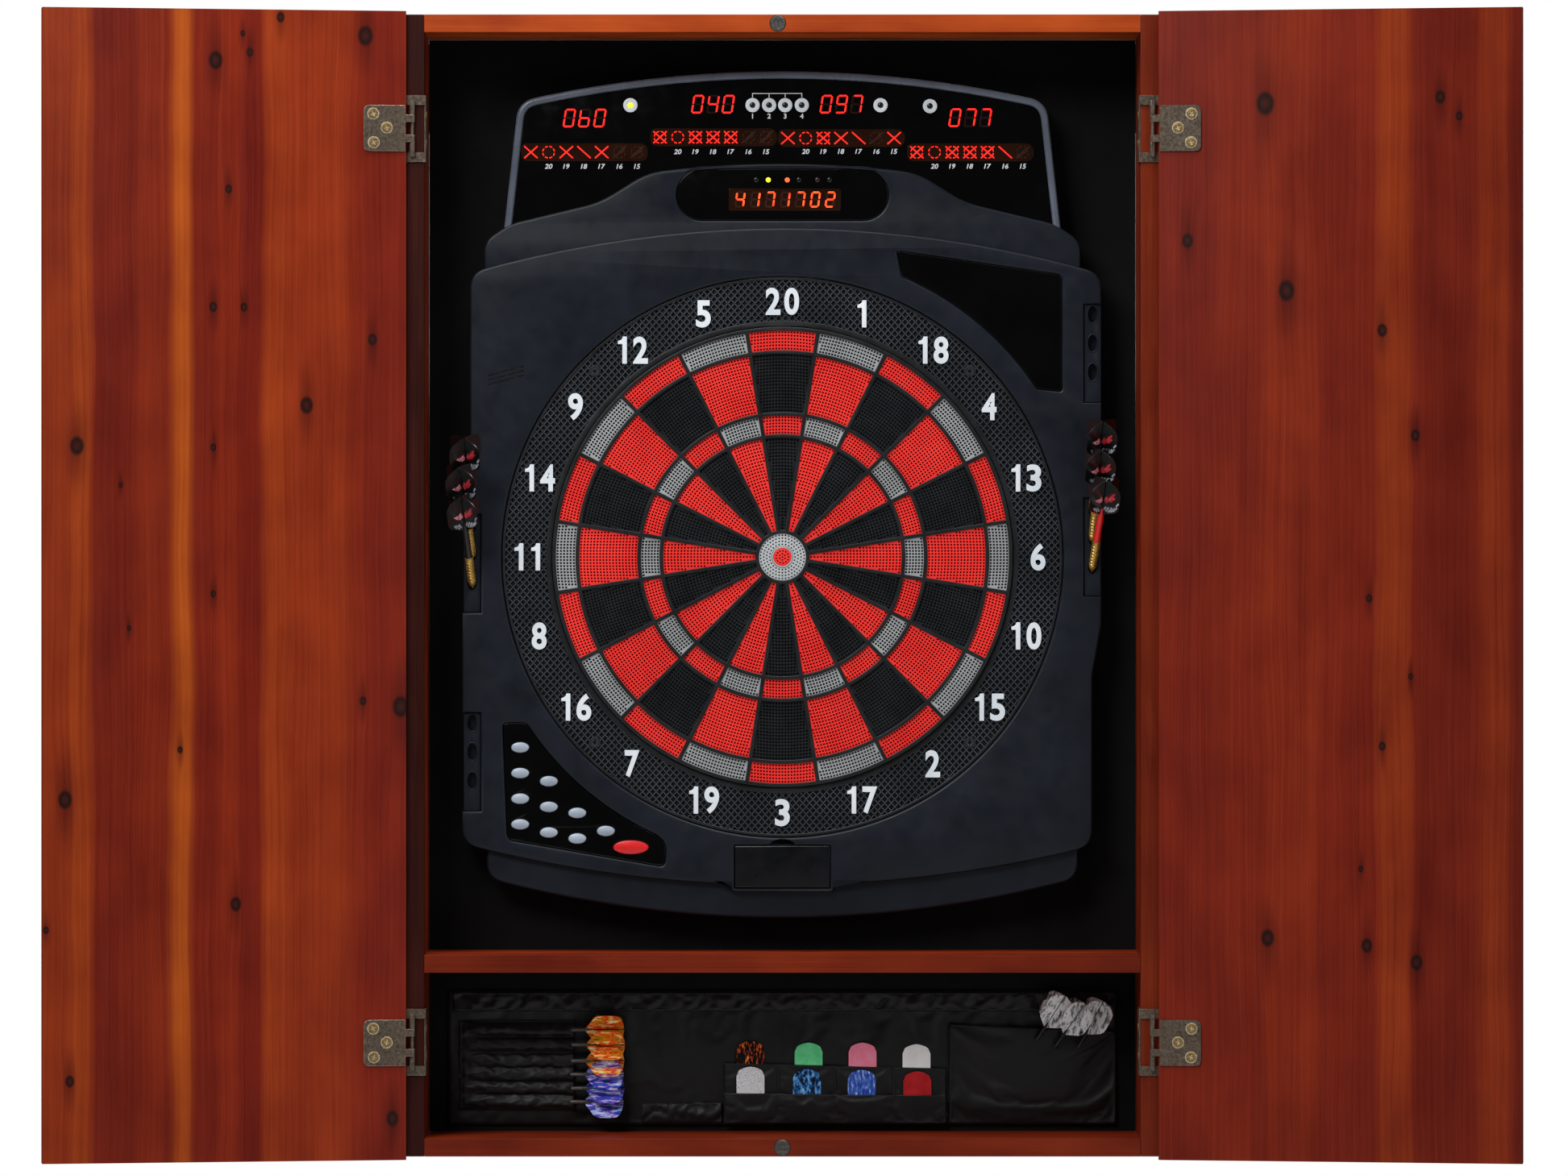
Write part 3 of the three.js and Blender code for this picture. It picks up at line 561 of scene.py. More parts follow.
def turned(profile, steps=24):
    """A solid of revolution about Z from (radius, z) points, its ends closed on the axis."""
    points, faces = [], []
    for radius, z in profile:
        for i in range(steps):
            turn = 2 * math.pi * i / steps
            points.append((radius * math.cos(turn), radius * math.sin(turn), z))
    for row in range(len(profile) - 1):
        for i in range(steps):
            j = (i + 1) % steps
            faces.append((row * steps + i, row * steps + j, (row + 1) * steps + j, (row + 1) * steps + i))
    faces.append(tuple(range(steps - 1, -1, -1)))
    faces.append(tuple(range((len(profile) - 1) * steps, len(profile) * steps)))
    return mesh_of(points, faces)


def piece(name, mesh, materials, slot, body="cabinet", replaces=(), bevel=0.0, smooth=32, place=PLACE):
    """The mesh as a named piece of the object, in the row frame."""
    mesh.transform(place)
    mesh.name = name
    made = bpy.data.objects.new(name, mesh)
    scene.collection.objects.link(made)
    for material in materials if isinstance(materials, list) else [materials]:
        mesh.materials.append(material)
    if bevel:
        add_bevel(made, bevel)
    mesh.shade_smooth()
    mesh.set_sharp_from_angle(angle=math.radians(smooth))
    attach(made, body)
    if replaces:
        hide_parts(*replaces)
    return made


def stand_in(node, mesh, materials, slot, body="cabinet", **settings):
    """A piece that is shown in place of a CAD node."""
    return piece(node + "_shown", mesh, materials, slot, body, [node], **settings)


def add_bevel(thing, width, edge_material=-1):
    rounding = thing.modifiers.new("rounding", "BEVEL")
    rounding.width = width * MM
    rounding.segments = 2
    rounding.limit_method = "ANGLE"
    rounding.angle_limit = math.radians(30)
    rounding.material = edge_material
    rounding.use_clamp_overlap = True


def rounded_copy(node, material, slot, bevel, body="cabinet", edge=None):
    """A CAD node's shape with its edges rounded, standing for that node."""
    mesh = cleaned(nodes[node].data.copy(), 1e-6)
    mesh.materials.clear()
    if "custom_normal" in mesh.attributes:
        mesh.attributes.remove(mesh.attributes["custom_normal"])
    made = stand_in(node, mesh, [material] + ([edge] if edge else []), slot, body, place=Matrix())
    add_bevel(made, bevel, 1 if edge else -1)
    return made


# --- Outlines, as lists of (x, z) ---

TARGET_Z = middle_of("spider").z


def ellipse(x, z, half_width, half_height, steps=48):
    turns = [2 * math.pi * i / steps for i in range(steps)]
    return [(x + half_width * math.cos(t), z + half_height * math.sin(t)) for t in turns]


def circle(radius, x=0.0, z=TARGET_Z, steps=160):
    return ellipse(x, z, radius, radius, steps)


def rectangle(x0, x1, z0, z1, radius, steps=8):
    """A closed outline with rounded corners."""
    return outline([(x0, z0, radius), (x1, z0, radius), (x1, z1, radius), (x0, z1, radius)], steps)


def arc(radius, start, end, steps=24):
    """Points on a circle about the target's centre, between two angles in degrees."""
    turns = [math.radians(start + (end - start) * i / steps) for i in range(steps + 1)]
    return [(radius * math.cos(t), TARGET_Z + radius * math.sin(t)) for t in turns]


def bow(start, end, rise, steps=20):
    """Points between two corners, not counting them, on a shallow bow."""
    points = []
    for i in range(1, steps):
        t = i / steps
        x = start[0] + (end[0] - start[0]) * t
        points.append((x, start[1] + (end[1] - start[1]) * t + 4 * rise * t * (1 - t)))
    return points


def outline(corners, steps=8):
    """A closed outline through corners (x, z) or (x, z, radius), the latter rounded."""
    points = []
    for i, corner in enumerate(corners):
        here = Vector(corner[:2])
        if len(corner) == 2:
            points.append(here)
            continue
        before = Vector(corners[i - 1][:2])
        after = Vector(corners[(i + 1) % len(corners)][:2])
        start = here + (before - here).normalized() * corner[2]
        end = here + (after - here).normalized() * corner[2]
        for step in range(steps + 1):
            t = step / steps
            points.append(start * (1 - t) ** 2 + here * 2 * t * (1 - t) + end * t * t)
    return [tuple(p) for p in points]


def grown(points, distance):
    """The outline moved outwards by a distance, or inwards by a negative one."""
    count = len(points)
    area = sum(points[i - 1][0] * points[i][1] - points[i][0] * points[i - 1][1] for i in range(count))
    side = distance if area > 0 else -distance
    moved = []
    for i, (x, z) in enumerate(points):
        before = Vector((x, z)) - Vector(points[i - 1])
        after = Vector(points[(i + 1) % count]) - Vector((x, z))
        if before.length < 1e-6 or after.length < 1e-6:
            continue
        before.normalize()
        after.normalize()
        normal = Vector((before.y + after.y, -before.x - after.x)).normalized()
        stretch = side / max(0.5, normal.dot(Vector((before.y, -before.x))))
        moved.append((x + normal.x * stretch, z + normal.y * stretch))
    return moved


def mirrored(corners):
    return [(-c[0], *c[1:]) for c in reversed(corners)]


def stroke(points, half):
    """The outline of a flat stroke of that half-width along points."""
    left, right = [], []
    for i, (x, z) in enumerate(points):
        before = Vector(points[max(0, i - 1)])
        after = Vector(points[min(len(points) - 1, i + 1)])
        normal = Vector((-(after - before).y, (after - before).x)).normalized() * half
        left.append((x + normal.x, z + normal.y))
        right.append((x - normal.x, z - normal.y))
    return left + right[::-1]


# --- Wooden cabinet and doors ---

CARCASS_STAVES = [(0.0, "#8c3217"), (0.38, "#98391a"), (0.74, "#853015")]
# The last stops of the side panels fall on their front edges, darkest on the left: painted shade there, not a
# tone of the wood.
LEFT_STAVES_AND_EDGE_SHADE = [*CARCASS_STAVES, (0.9, "#4a170a"), (0.985, "#36100a")]
RIGHT_STAVES_AND_EDGE_SHADE = [*CARCASS_STAVES, (0.985, "#7a2c10")]
# The top panel's staves are lighter than the rest of the carcass: painted light from above on its front edge.
TOP_STAVES_LIT_FROM_ABOVE = [(0.0, "#c05a26"), (0.45, "#ca6326"), (0.8, "#b95424")]
# The last stop darkens the front edges of the shelf and the bottom panel: painted shade, lower down and away
# from the light above.
SHELF_STAVES_AND_EDGE_SHADE = [*CARCASS_STAVES, (0.992, "#7a2a12")]
CARCASS_KNOTS = [(30, 330, 5.0), (70, -120, 4.0), (12, -350, 3.0), (55, 140, 3.0)]
BOARDS = {
    # node: (across, along, staves, which for the panels and the shelf end in painted light and shade on their
    # front edges)
    "left_side_panel": ((0, -1, 0), (0, 0, 1), LEFT_STAVES_AND_EDGE_SHADE),
    "right_side_panel": ((0, -1, 0), (0, 0, 1), RIGHT_STAVES_AND_EDGE_SHADE),
    "top_panel": ((0, -1, 0), (1, 0, 0), TOP_STAVES_LIT_FROM_ABOVE),
    "bottom_panel": ((0, -1, 0), (1, 0, 0), SHELF_STAVES_AND_EDGE_SHADE),
    "divider_shelf": ((0, -1, 0), (1, 0, 0), SHELF_STAVES_AND_EDGE_SHADE),
    "hanging_rail": ((0, 0, 1), (1, 0, 0), CARCASS_STAVES),
}
BOARD_EDGE = 0.25
DOOR_OPEN = math.radians(172)
DOOR_REACH = 313.4  # from the hinge pin to the door's far edge
DOORS = {"left": (-1, LEFT_DOOR), "right": (1, RIGHT_DOOR)}


def make_carcass():
    for node, (across, along, staves) in BOARDS.items():
        low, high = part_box(node)
        origin = Vector((low.x, high.y, low.z)) if across[1] else Vector((low.x, low.y, low.z))
        width = (high.y - low.y if across[1] else high.z - low.z) * 1000
        knots = [(s * width / 100, z, r) for s, z, r in CARCASS_KNOTS]
        wood = stained_pine(node + "_pine", origin, across, along, width, staves, knots)
        rounded_copy(node, wood, "pine", BOARD_EDGE)
    nodes["back_panel"].material_slots[0].material = black_board


def door_axis(word, side):
    """Where a door's pin is in the row frame, and its turn from shut to wide open."""
    joint = next(j for j in frame["joints"] if j["name"] == word + "_door_hinge")
    return Vector(joint["pos_m"]), Matrix.Rotation(side * DOOR_OPEN, 3, "Z")


def make_doors():
    for word, (side, layout) in DOORS.items():
        pin, turn = door_axis(word, side)
        across = turn @ Vector((-side, 0, 0))
        wood = stained_pine(word + "_door_pine", pin, across, (0, 0, 1), DOOR_REACH, **layout)
        rounded_copy(word + "_door", wood, "pine", BOARD_EDGE, word + "_door")


def cross_head_screw(radius=4.2):
    """A countersunk screw's head with a cross recess, facing +Z, its rim at z = 0."""
    arm, half = radius * 0.52, radius * 0.13
    cross = []
    for turn in range(4):
        c, s = round(math.cos(turn * math.pi / 2)), round(math.sin(turn * math.pi / 2))
        for x, y in ((arm, -half), (arm, half), (half, half)):
            cross.append((x * c - y * s, x * s + y * c))
    head = slab([ellipse(0, 0, radius, radius, 32), cross], 1.0, -0.35, 0.25)
    floor = box_mesh((-arm, 0.5, -arm), (arm, 1.0, arm))
    made = joined(head, floor)
    made.transform(Matrix.Rotation(-math.pi / 2, 4, "X"))
    return made


def facing(point, direction, spin=0.0):
    """Takes something made about Z to a point in the row frame, with Z along direction."""
    turn = Vector(direction).to_track_quat("Z", "Y").to_matrix().to_4x4()
    return Matrix.Translation(point) @ turn @ Matrix.Rotation(spin, 4, "Z") @ Matrix.Scale(MM, 4)


SCREW_BED = [(5.1, 0), (5.1, 0.12), (4.5, 0.16), (4.3, 0.05)]
PLATE_SCREWS = [(33.5, 12.3), (22.0, 0.4), (33.0, -12.1)]  # (from the pin, above the middle)
PLATE_FACE = 3.1  # from the pin to the plate's face
LEAF_SCREWS = [12.0, -12.0]
LEAF_SCREWS_BEHIND = 0.013  # metres behind the cabinet's front edges


def make_hinges():
    spins = random.Random(4)
    for word, (side, _) in DOORS.items():
        pin, turn = door_axis(word, side)
        outward = turn @ Vector((0, 1, 0))
        for level in ("upper", "lower"):
            leaf, plate = f"{word}_{level}_hinge_frame_leaf", f"{word}_{level}_hinge_door_plate"
            rounded_copy(leaf, nickel, "antique_nickel", 0.25, edge=nickel_edge)
            rounded_copy(plate, nickel, "antique_nickel", 0.3, word + "_door", edge=nickel_edge)
            height = middle_of(plate).z
            for index, (s, up) in enumerate(PLATE_SCREWS):
                place = pin + turn @ (Vector((-side * s, PLATE_FACE, 0)) * MM)
                place.z = MIDDLE_Z + (height + up) * MM
                piece(f"{plate}_screw_bed_{index}", turned(SCREW_BED, 28), nickel_edge, "antique_nickel",
                      word + "_door", place=facing(place, outward))
                piece(f"{plate}_screw_{index}", cross_head_screw(), screw_brass, "brass", word + "_door",
                      place=facing(place + outward * 0.2 * MM, outward, spins.uniform(0, 1.5)))
            leaf_low, leaf_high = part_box(leaf)
            wall_x = leaf_low.x if side > 0 else leaf_high.x
            for index, up in enumerate(LEAF_SCREWS):
                place = Vector((wall_x, FRONT_Y + LEAF_SCREWS_BEHIND, MIDDLE_Z + (height + up) * MM))
                piece(f"{leaf}_screw_{index}", cross_head_screw(3.6), screw_brass, "brass",
                      place=facing(place, (-side, 0, 0), spins.uniform(0, 1.5)))


def make_magnets():
    for node in ("upper_magnet", "lower_magnet"):
        middle, (low, high) = middle_of(node), extent(node)
        rim, face = (high.x - low.x) / 2, low.y
        profile = [(rim, high.y), (rim, face + 0.9), (rim - 0.9, face), (rim * 0.55, face),
                   (rim * 0.5, face + 0.5)]  # a bevelled rim and a hollow for the screw
        mesh = facing_front(turned([(r, -y) for r, y in profile], 40), middle.x, 0, middle.z)
        stand_in(node, mesh, magnet_steel, "magnet_steel")
    for node in ("left_keyhole_plate", "right_keyhole_plate"):
        nodes[node].material_slots[0].material = zinc


make_carcass()
make_doors()
make_hinges()
make_magnets()

# --- Dartboard housing ---

SPLIT_Y = extent("board_rear_shell")[0].y
BODY_Y = front_of("board_front_shell")
SHOULDER_Y = front_of("shoulder_shell")
CROWN_Y = front_of("crown_shell")
CHIN_Y = front_of("chin_shell")
LENS_Y = front_of("crown_lens")
TURN_LENS_Y = front_of("turn_display_lens")
RING_RADIUS = (extent("catch_ring")[1].x - extent("catch_ring")[0].x) / 2
HOLDERS = [f"{side}_{level}_dart_holder" for side in ("right", "left") for level in ("upper", "lower")]
PLATE_Y = BODY_Y + 12  # back of the plate with the openings
SHELL_BACK = SPLIT_Y - 0.3  # the front shells end just before the rear shell
NOTCH = {"half": 10.8, "tall": 5.6}  # finger notch over the lid
CROWN_RIM = 6.5
EDGE = 2.2  # rounding of the housing's front edges
WELL = 262  # radius, about the target's centre, of the keypad's and the corner plate's curved sides


def notched_flank(corners, side):
    """Adds the open notch of each dart holder on one side to a run of corners that goes down."""
    notches = []
    for node in HOLDERS:
        low, high = extent(node)
        if (low.x > 0) == (side > 0):
            inner = low.x - 0.3 if side > 0 else high.x + 0.3
            notches.append((high.z + 0.3, low.z - 0.3, inner))
    result = []
    for (x0, z0), (x1, z1) in zip(corners, corners[1:]):
        result.append((x0, z0))
        for top, bottom, inner in sorted(notches, reverse=True):
            for edge in (top, bottom):
                if z1 < edge <= z0:
                    x = x0 + (x1 - x0) * (edge - z0) / (z1 - z0)
                    result += [(x, edge), (inner, edge)] if edge == top else [(inner, edge), (x, edge)]
    return result + [corners[-1]]


def body_outline():
    top_left, top_right = (-268, 269, 14), (274, 268, 14)
    low_right, low_left = (266, -224, 14), (-275, -222, 14)
    right = notched_flank([(274, 254), (274, -33), (266, -78), (266, -210)], 1)
    left = notched_flank([(-268, 255), (-268, 94), (-275, 66), (-275, -208)], -1)
    corners = [top_left, *bow(top_left, top_right, 38.6), top_right, *right[1:-1], low_right]
    return outline(corners + [*bow(low_right, low_left, -34.6), low_left, *left[1:-1][::-1]])


def shoulder_outline():
    half = [(116, 354.5, 14), (157, 329, 14), (234, 310.5, 8), (256, 296, 10), (256, 270)]
    return outline([*mirrored(half), *bow((-116, 354.5), (116, 354.5), 8, 12), *half], 10)


def crown_outline(floor=262):
    """The crown, whose sides splay downwards, cut off at that height."""
    left, right = (-227, 416, 15), (227, 416, 15)
    foot = 242 + (280 - floor) * 0.11
    return outline([(-foot, floor), left, *bow(left, right, 26), right, (foot, floor)], 12)


def chin_outline():
    right, left = (254, -252, 14), (-254, -252, 14)
    return outline([(-254, -222), (254, -222), right, *bow(right, left, -34), left])


def pill_outline(margin=0.0):
    low, high = extent("turn_display_lens")
    middle, half, radius = middle_of("turn_display_lens"), (high.x - low.x) / 2, (high.z - low.z) / 2
    half, radius = half - margin, radius - margin
    right = [math.pi * (i / 20 - 0.5) for i in range(21)]
    points = [(half - radius + radius * math.cos(t), middle.z + radius * math.sin(t)) for t in right]
    return points + [(-x, 2 * middle.z - z) for x, z in points]


def keypad_outline():
    top, low = [(-240, -118, 5), (-222, -118, 3)], [(-100, -221, 6), (-101, -241.5, 6), (-236, -218.2, 6)]
    return outline([*top, *arc(WELL, 213.4, 245.5), *low])


def corner_plate_outline():
    return outline([*arc(WELL, 67, 33.4), (239.8, 166.6, 3), (239.8, 266.7, 5), (98.3, 287.4, 3)])


def lid_opening():
    low, high = extent("compartment_lid")
    return rectangle(low.x - 0.4, high.x + 0.4, low.z - 0.4, high.z + 0.3, 1, 3)


def speaker_slits():
    """Three narrow slanting slits."""
    pitch, width = 3.9, 1.6
    ends = [((-252, 181 - i * pitch), (-222, 189 - i * pitch)) for i in range(3)]
    return [[left, right, (right[0], right[1] - width), (left[0], left[1] - width)] for left, right in ends]


def through_plate(shape):
    """A cutter that goes nearly through the front plate."""
    return slab([shape], PLATE_Y - 1, BODY_Y - 1, 0.1, 1)


def finger_notch():
    """What the finger notch takes out of the housing over the lid."""
    top = extent("compartment_lid")[1].z + 0.3
    return through_plate(ellipse(0, top, NOTCH["half"], NOTCH["tall"], 40))


def make_housing():
    body = body_outline()
    ring = circle(RING_RADIUS + 0.6, steps=226)
    tray_low, tray_high = extent("lid_tray")
    holes = [ring, keypad_outline(), corner_plate_outline()]
    # The body's lower edge, which runs from right to left, steps down round the lid's tray.
    half, low = tray_high.x, tray_low.z
    rest = [p for p in body if not (abs(p[0]) < half + 7 and p[1] < -200)]
    at = next(i for i, p in enumerate(rest) if p[1] < -200 and -half - 30 < p[0] < 0)
    tab = [(half, rest[at - 1][1]), (half, low), (-half, low), (-half, rest[at][1])]
    face = rest[:at] + tab + rest[at:]
    cutter = joined(finger_notch(), *map(through_plate, speaker_slits()))
    plate = cut(slab([face, *holes, lid_opening()], PLATE_Y, BODY_Y, EDGE), cutter)
    shell = joined(plate, slab([face, ring], SHELL_BACK, PLATE_Y, 0.2))
    stand_in("board_front_shell", shell, slate, "slate_plastic")

    shoulder = slab([shoulder_outline(), pill_outline(-0.3)], SHELL_BACK, SHOULDER_Y, EDGE)
    stand_in("shoulder_shell", shoulder, slate, "slate_plastic")
    tray_space = box_mesh((tray_low.x - 0.2, -70, tray_low.z - 0.2), (tray_high.x + 0.2, 0, -190))
    chin = cut(slab([chin_outline()], SHELL_BACK, CHIN_Y, 3.0, 4), tray_space)
    stand_in("chin_shell", chin, slate, "slate_plastic")

    crown, lens_rim = crown_outline(), crown_outline(272)
    # The crown's front band, its rim, is on the lighter copy of the slate: painted highlight.
    crown_mesh = joined(
        tinted(slab([crown, grown(lens_rim, -CROWN_RIM)], SPLIT_Y - 4, CROWN_Y, 3.1, 6), 1),
        slab([grown(crown, -0.2)], SHELL_BACK, SPLIT_Y - 4.5, 0.2),
    )
    stand_in("crown_shell", crown_mesh, [slate, slate_rim_painted_highlight], "slate_plastic")
    lens = slab([grown(lens_rim, -CROWN_RIM + 0.6)], LENS_Y + 3, LENS_Y, 0.3)
    stand_in("crown_lens", lens, black_gloss, "black_gloss")
    pill = slab([pill_outline()], TURN_LENS_Y + 2, TURN_LENS_Y, 0.3)
    stand_in("turn_display_lens", pill, black_gloss, "black_gloss")

    rear_back = extent("board_rear_shell")[1].y
    rear = joined(*[slab([grown(shape, -0.4)], rear_back, SPLIT_Y, 1.5)
                    for shape in (body, shoulder_outline(), crown, chin_outline())])
    stand_in("board_rear_shell", rear, slate, "slate_plastic")
    make_tray_and_lid()
    make_holders()


def make_tray_and_lid():
    low, high = extent("compartment_lid")
    _, back = extent("lid_tray")
    wall = 0.8
    inner = lid_opening()
    tray = joined(
        slab([grown(inner, wall), inner], back.y - 1.5, BODY_Y + 1.5, 0.2),
        slab([grown(inner, wall)], back.y, back.y - 2, 0.3),
    )
    stand_in("lid_tray", tray, slate_lid, "slate_plastic")
    roll = (high.y - low.y) / 2
    profile = [(high.y, high.z), (low.y + 0.8, high.z), (low.y, high.z - 0.8)]
    for i in range(9):
        turn = math.pi + math.pi * i / 8
        profile.append((low.y + roll + roll * math.cos(turn), low.z + roll + roll * math.sin(turn)))
    lid = prism([[(x, y, z) for y, z in profile] for x in (low.x, high.x)])
    stand_in("compartment_lid", lid, slate_lid, "slate_plastic", "compartment_lid", bevel=0.5)


HOLDER_LEAN = math.radians(58)
HOLE_RADIUS = 3.8
HOLE_FIRST = 8.3
HOLE_PITCH = 24.8


def hole_heights(node):
    high = extent(node)[1]
    return [high.z - HOLE_FIRST - i * HOLE_PITCH for i in range(3)]


def make_holders():
    """Inserts with three slanting holes. Seen from the front, each hole is a tall oval with a lip."""
    tall = HOLE_RADIUS / math.cos(HOLDER_LEAN)
    for node in HOLDERS:
        (low, high), x = extent(node), middle_of(node).x
        rim = rectangle(low.x, high.x, low.z, high.z, 1, 3)
        ovals = [ellipse(x, z, HOLE_RADIUS, tall, 40) for z in hole_heights(node)]
        lips = [slab([grown(oval, 1.1), grown(oval, 0.1)], low.y + 1, low.y - 0.5, 0.45) for oval in ovals]
        insert = joined(slab([rim, *ovals], low.y + 6, low.y, 0.5), slab([rim], high.y, low.y + 6, 0.2), *lips)
        stand_in(node, insert, slate, "slate_plastic")


make_housing()

# --- Target: spider, segments with their tip holes, and the number ring ---

SEGMENT_Y = front_of("outer_single_segments")
SPIDER_Y = front_of("spider")
RING_Y = front_of("catch_ring")
BULL_Y = front_of("outer_bull_segment")
BULL_BACK = -52
SEGMENT_DEPTH = 6.0
RADII = {"inner_bull": 8.4, "bull": 21.7, "triple_in": 104.0, "triple_out": 123.0, "double_in": 176.0,
         "double_out": 196.0}
BAR = 1.5  # half-width of the spider's bars
NUMBERS = [20, 1, 18, 4, 13, 6, 10, 15, 2, 17, 3, 19, 7, 16, 8, 11, 14, 9, 12, 5]
SECTOR = 360 / len(NUMBERS)
SLOPE = math.tan(math.radians(SECTOR / 2))
HOLE = {"across": 2.62, "along": 2.78, "deep": 2.2}


def about_target(points, index):
    """Turns points made for the top sector clockwise to another one."""
    turn = -math.radians(index * SECTOR)
    c, s = math.cos(turn), math.sin(turn)
    return [(x * c - z * s, y, TARGET_Z + x * s + z * c) for x, y, z in points]


def side_crossing(radius, slope, gap):
    """Where the segment's side line, x = slope z - gap, crosses a circle."""
    a = 1 + slope * slope
    z = (slope * gap + math.sqrt(a * radius * radius - gap * gap)) / a
    return slope * z - gap


def segment_rim(inner, outer, inner_half, outer_half, steps=10):
    """The edge of a segment in the top sector, as (x, z) from the target's centre."""
    rim = [(-inner_half + 2 * inner_half * i / steps, inner) for i in range(steps + 1)]
    rim += [(outer_half - 2 * outer_half * i / steps, outer) for i in range(steps + 1)]
    return [(x, math.sqrt(r * r - x * x)) for x, r in rim]


def segment_mesh(inner, outer, front, half):
    """One segment: rows of square tip holes on arcs, in columns along the sector's middle."""
    rows = max(2, round((outer - inner) / HOLE["along"]))
    radii = [inner + (outer - inner) * i / rows for i in range(rows + 1)]
    gap = BAR * 1.1 / math.cos(math.radians(SECTOR / 2))
    halves = [side_crossing(r, SLOPE, gap) for r in radii]
    deep = front + HOLE["deep"]
    points, faces, dark = [], [], set()

    def add(x, y, z):
        points.append((x, y, z))
        return len(points) - 1

    for row in range(rows):
        low, high = radii[row], radii[row + 1]
        low_half, high_half = halves[row], halves[row + 1]
        count = max(0, int((low_half - 0.5 * half) / HOLE["across"] + 0.5))
        columns = range(-count, count + 1)
        edges = [(k - 0.5) * HOLE["across"] for k in columns] + [(count + 0.5) * HOLE["across"]]
        lows = [max(-low_half, min(low_half, x)) for x in edges]
        highs = [max(-high_half, min(high_half, x)) for x in edges]
        lows[0], lows[-1], highs[0], highs[-1] = -low_half, low_half, -high_half, high_half
        for k, x0, x1, u0, u1 in zip(columns, lows, lows[1:], highs, highs[1:]):
            corners = ((x0, low), (x1, low), (u1, high), (u0, high))
            outer_loop = [add(px, front, math.sqrt(r * r - px * px)) for px, r in corners]
            x = k * HOLE["across"]
            middle = (low + high) / 2
            z = math.sqrt(middle * middle - x * x)
            room = min(x - min(x0, u0), max(x1, u1) - x)
            if room < half + 0.25 or x - half < max(x0, u0 - 9) or x + half > min(x1, u1 + 9):
                faces.append(tuple(outer_loop))
                continue
            spots = [(x - half, z - half), (x + half, z - half), (x + half, z + half), (x - half, z + half)]
            top = [add(px, front, pz) for px, pz in spots]
            end = [add(px, deep, pz) for px, pz in spots]
            # Each hole's walls and floor go on the second material, painted shade.
            for i, j in ((0, 1), (1, 2), (2, 3), (3, 0)):
                faces.append((outer_loop[i], outer_loop[j], top[j], top[i]))
                faces.append((top[i], top[j], end[j], end[i]))
                dark.add(len(faces) - 1)
            faces.append(tuple(end))
            dark.add(len(faces) - 1)
    rim = segment_rim(inner, outer, halves[0], halves[-1])
    start, count = len(points), len(rim)
    points += [(x, y, z) for y in (front, front + SEGMENT_DEPTH) for x, z in rim]
    for i in range(count):
        j = (i + 1) % count
        faces.append((start + i, start + j, start + count + j, start + count + i))
    return points, faces, dark


def segment_outline(inner, outer, index):
    """The opening in the spider round one segment."""
    rim = segment_rim(inner, outer, side_crossing(inner, SLOPE, BAR), side_crossing(outer, SLOPE, BAR))
    return [(x, z) for x, _, z in about_target([(x, 0, z) for x, z in rim], index)]


BANDS = {
    # node: (inner radius, outer radius, colour on even sectors, colour on odd sectors)
    "inner_single_segments": ("bull", "triple_in", "black", "red"),
    "triple_segments": ("triple_in", "triple_out", "red", "grey"),
    "outer_single_segments": ("triple_out", "double_in", "black", "red"),
    "double_segments": ("double_in", "double_out", "red", "grey"),
}
SEGMENT_COLORS = {
    # colour: (finish, painted shade in its holes, slot, half-width of a hole)
    "black": (segment_black, hole_painted_shade, "black_plastic", 0.74),
    "red": (segment_red, red_hole_painted_shade, "red_plastic", 0.74),
    "grey": (segment_grey, hole_painted_shade, "grey_plastic", 0.86),
}


def make_segments():
    for node, (inner, outer, even, odd) in BANDS.items():
        low, high = RADII[inner] + BAR, RADII[outer] - BAR
        for index, number in enumerate(NUMBERS):
            material, hole, slot, half = SEGMENT_COLORS[odd if index % 2 else even]
            points, faces, dark = segment_mesh(low + 0.15, high - 0.15, SEGMENT_Y, half)
            mesh = bpy.data.meshes.new("segment")
            mesh.from_pydata(about_target(points, index), [], faces)
            mesh.polygons.foreach_set("material_index", [int(face in dark) for face in range(len(faces))])
            cleaned(mesh)
            replaced = [node] if index == 0 else []
            made = piece(f"{node[:-1]}_{number}", mesh, [material, hole], slot, replaces=replaced)
            made.data.shade_flat()


BULL_HOLES = [(10.9, 24), (13.5, 30), (16.1, 36), (18.7, 42)]  # each ring's radius and count
EYE_HOLES = [(0.01, 1), (2.6, 6), (5.3, 13)]


def round_holes(radii_counts):
    """Rings of tip holes as (x, z) about the target's centre."""
    spots = []
    for row, (radius, count) in enumerate(radii_counts):
        for i in range(count):
            turn = 2 * math.pi * (i + 0.5 * (row % 2)) / count
            spots.append((radius * math.cos(turn), TARGET_Z + radius * math.sin(turn)))
    return spots


def dotted(rims, spots, front, back, hole=0.72):
    """A plate with round tip holes, and a floor behind them on the second material, painted shade in the holes.
    """
    holes = [ellipse(x, z, hole, hole, 10) for x, z in spots]
    plate = slab([*rims, *holes], front + 2.4, front, 0.12, 1)
    floor = tinted(slab(rims, back, front + 2.5, 0.1, 1), 1)
    return joined(tinted(plate, 0), floor)


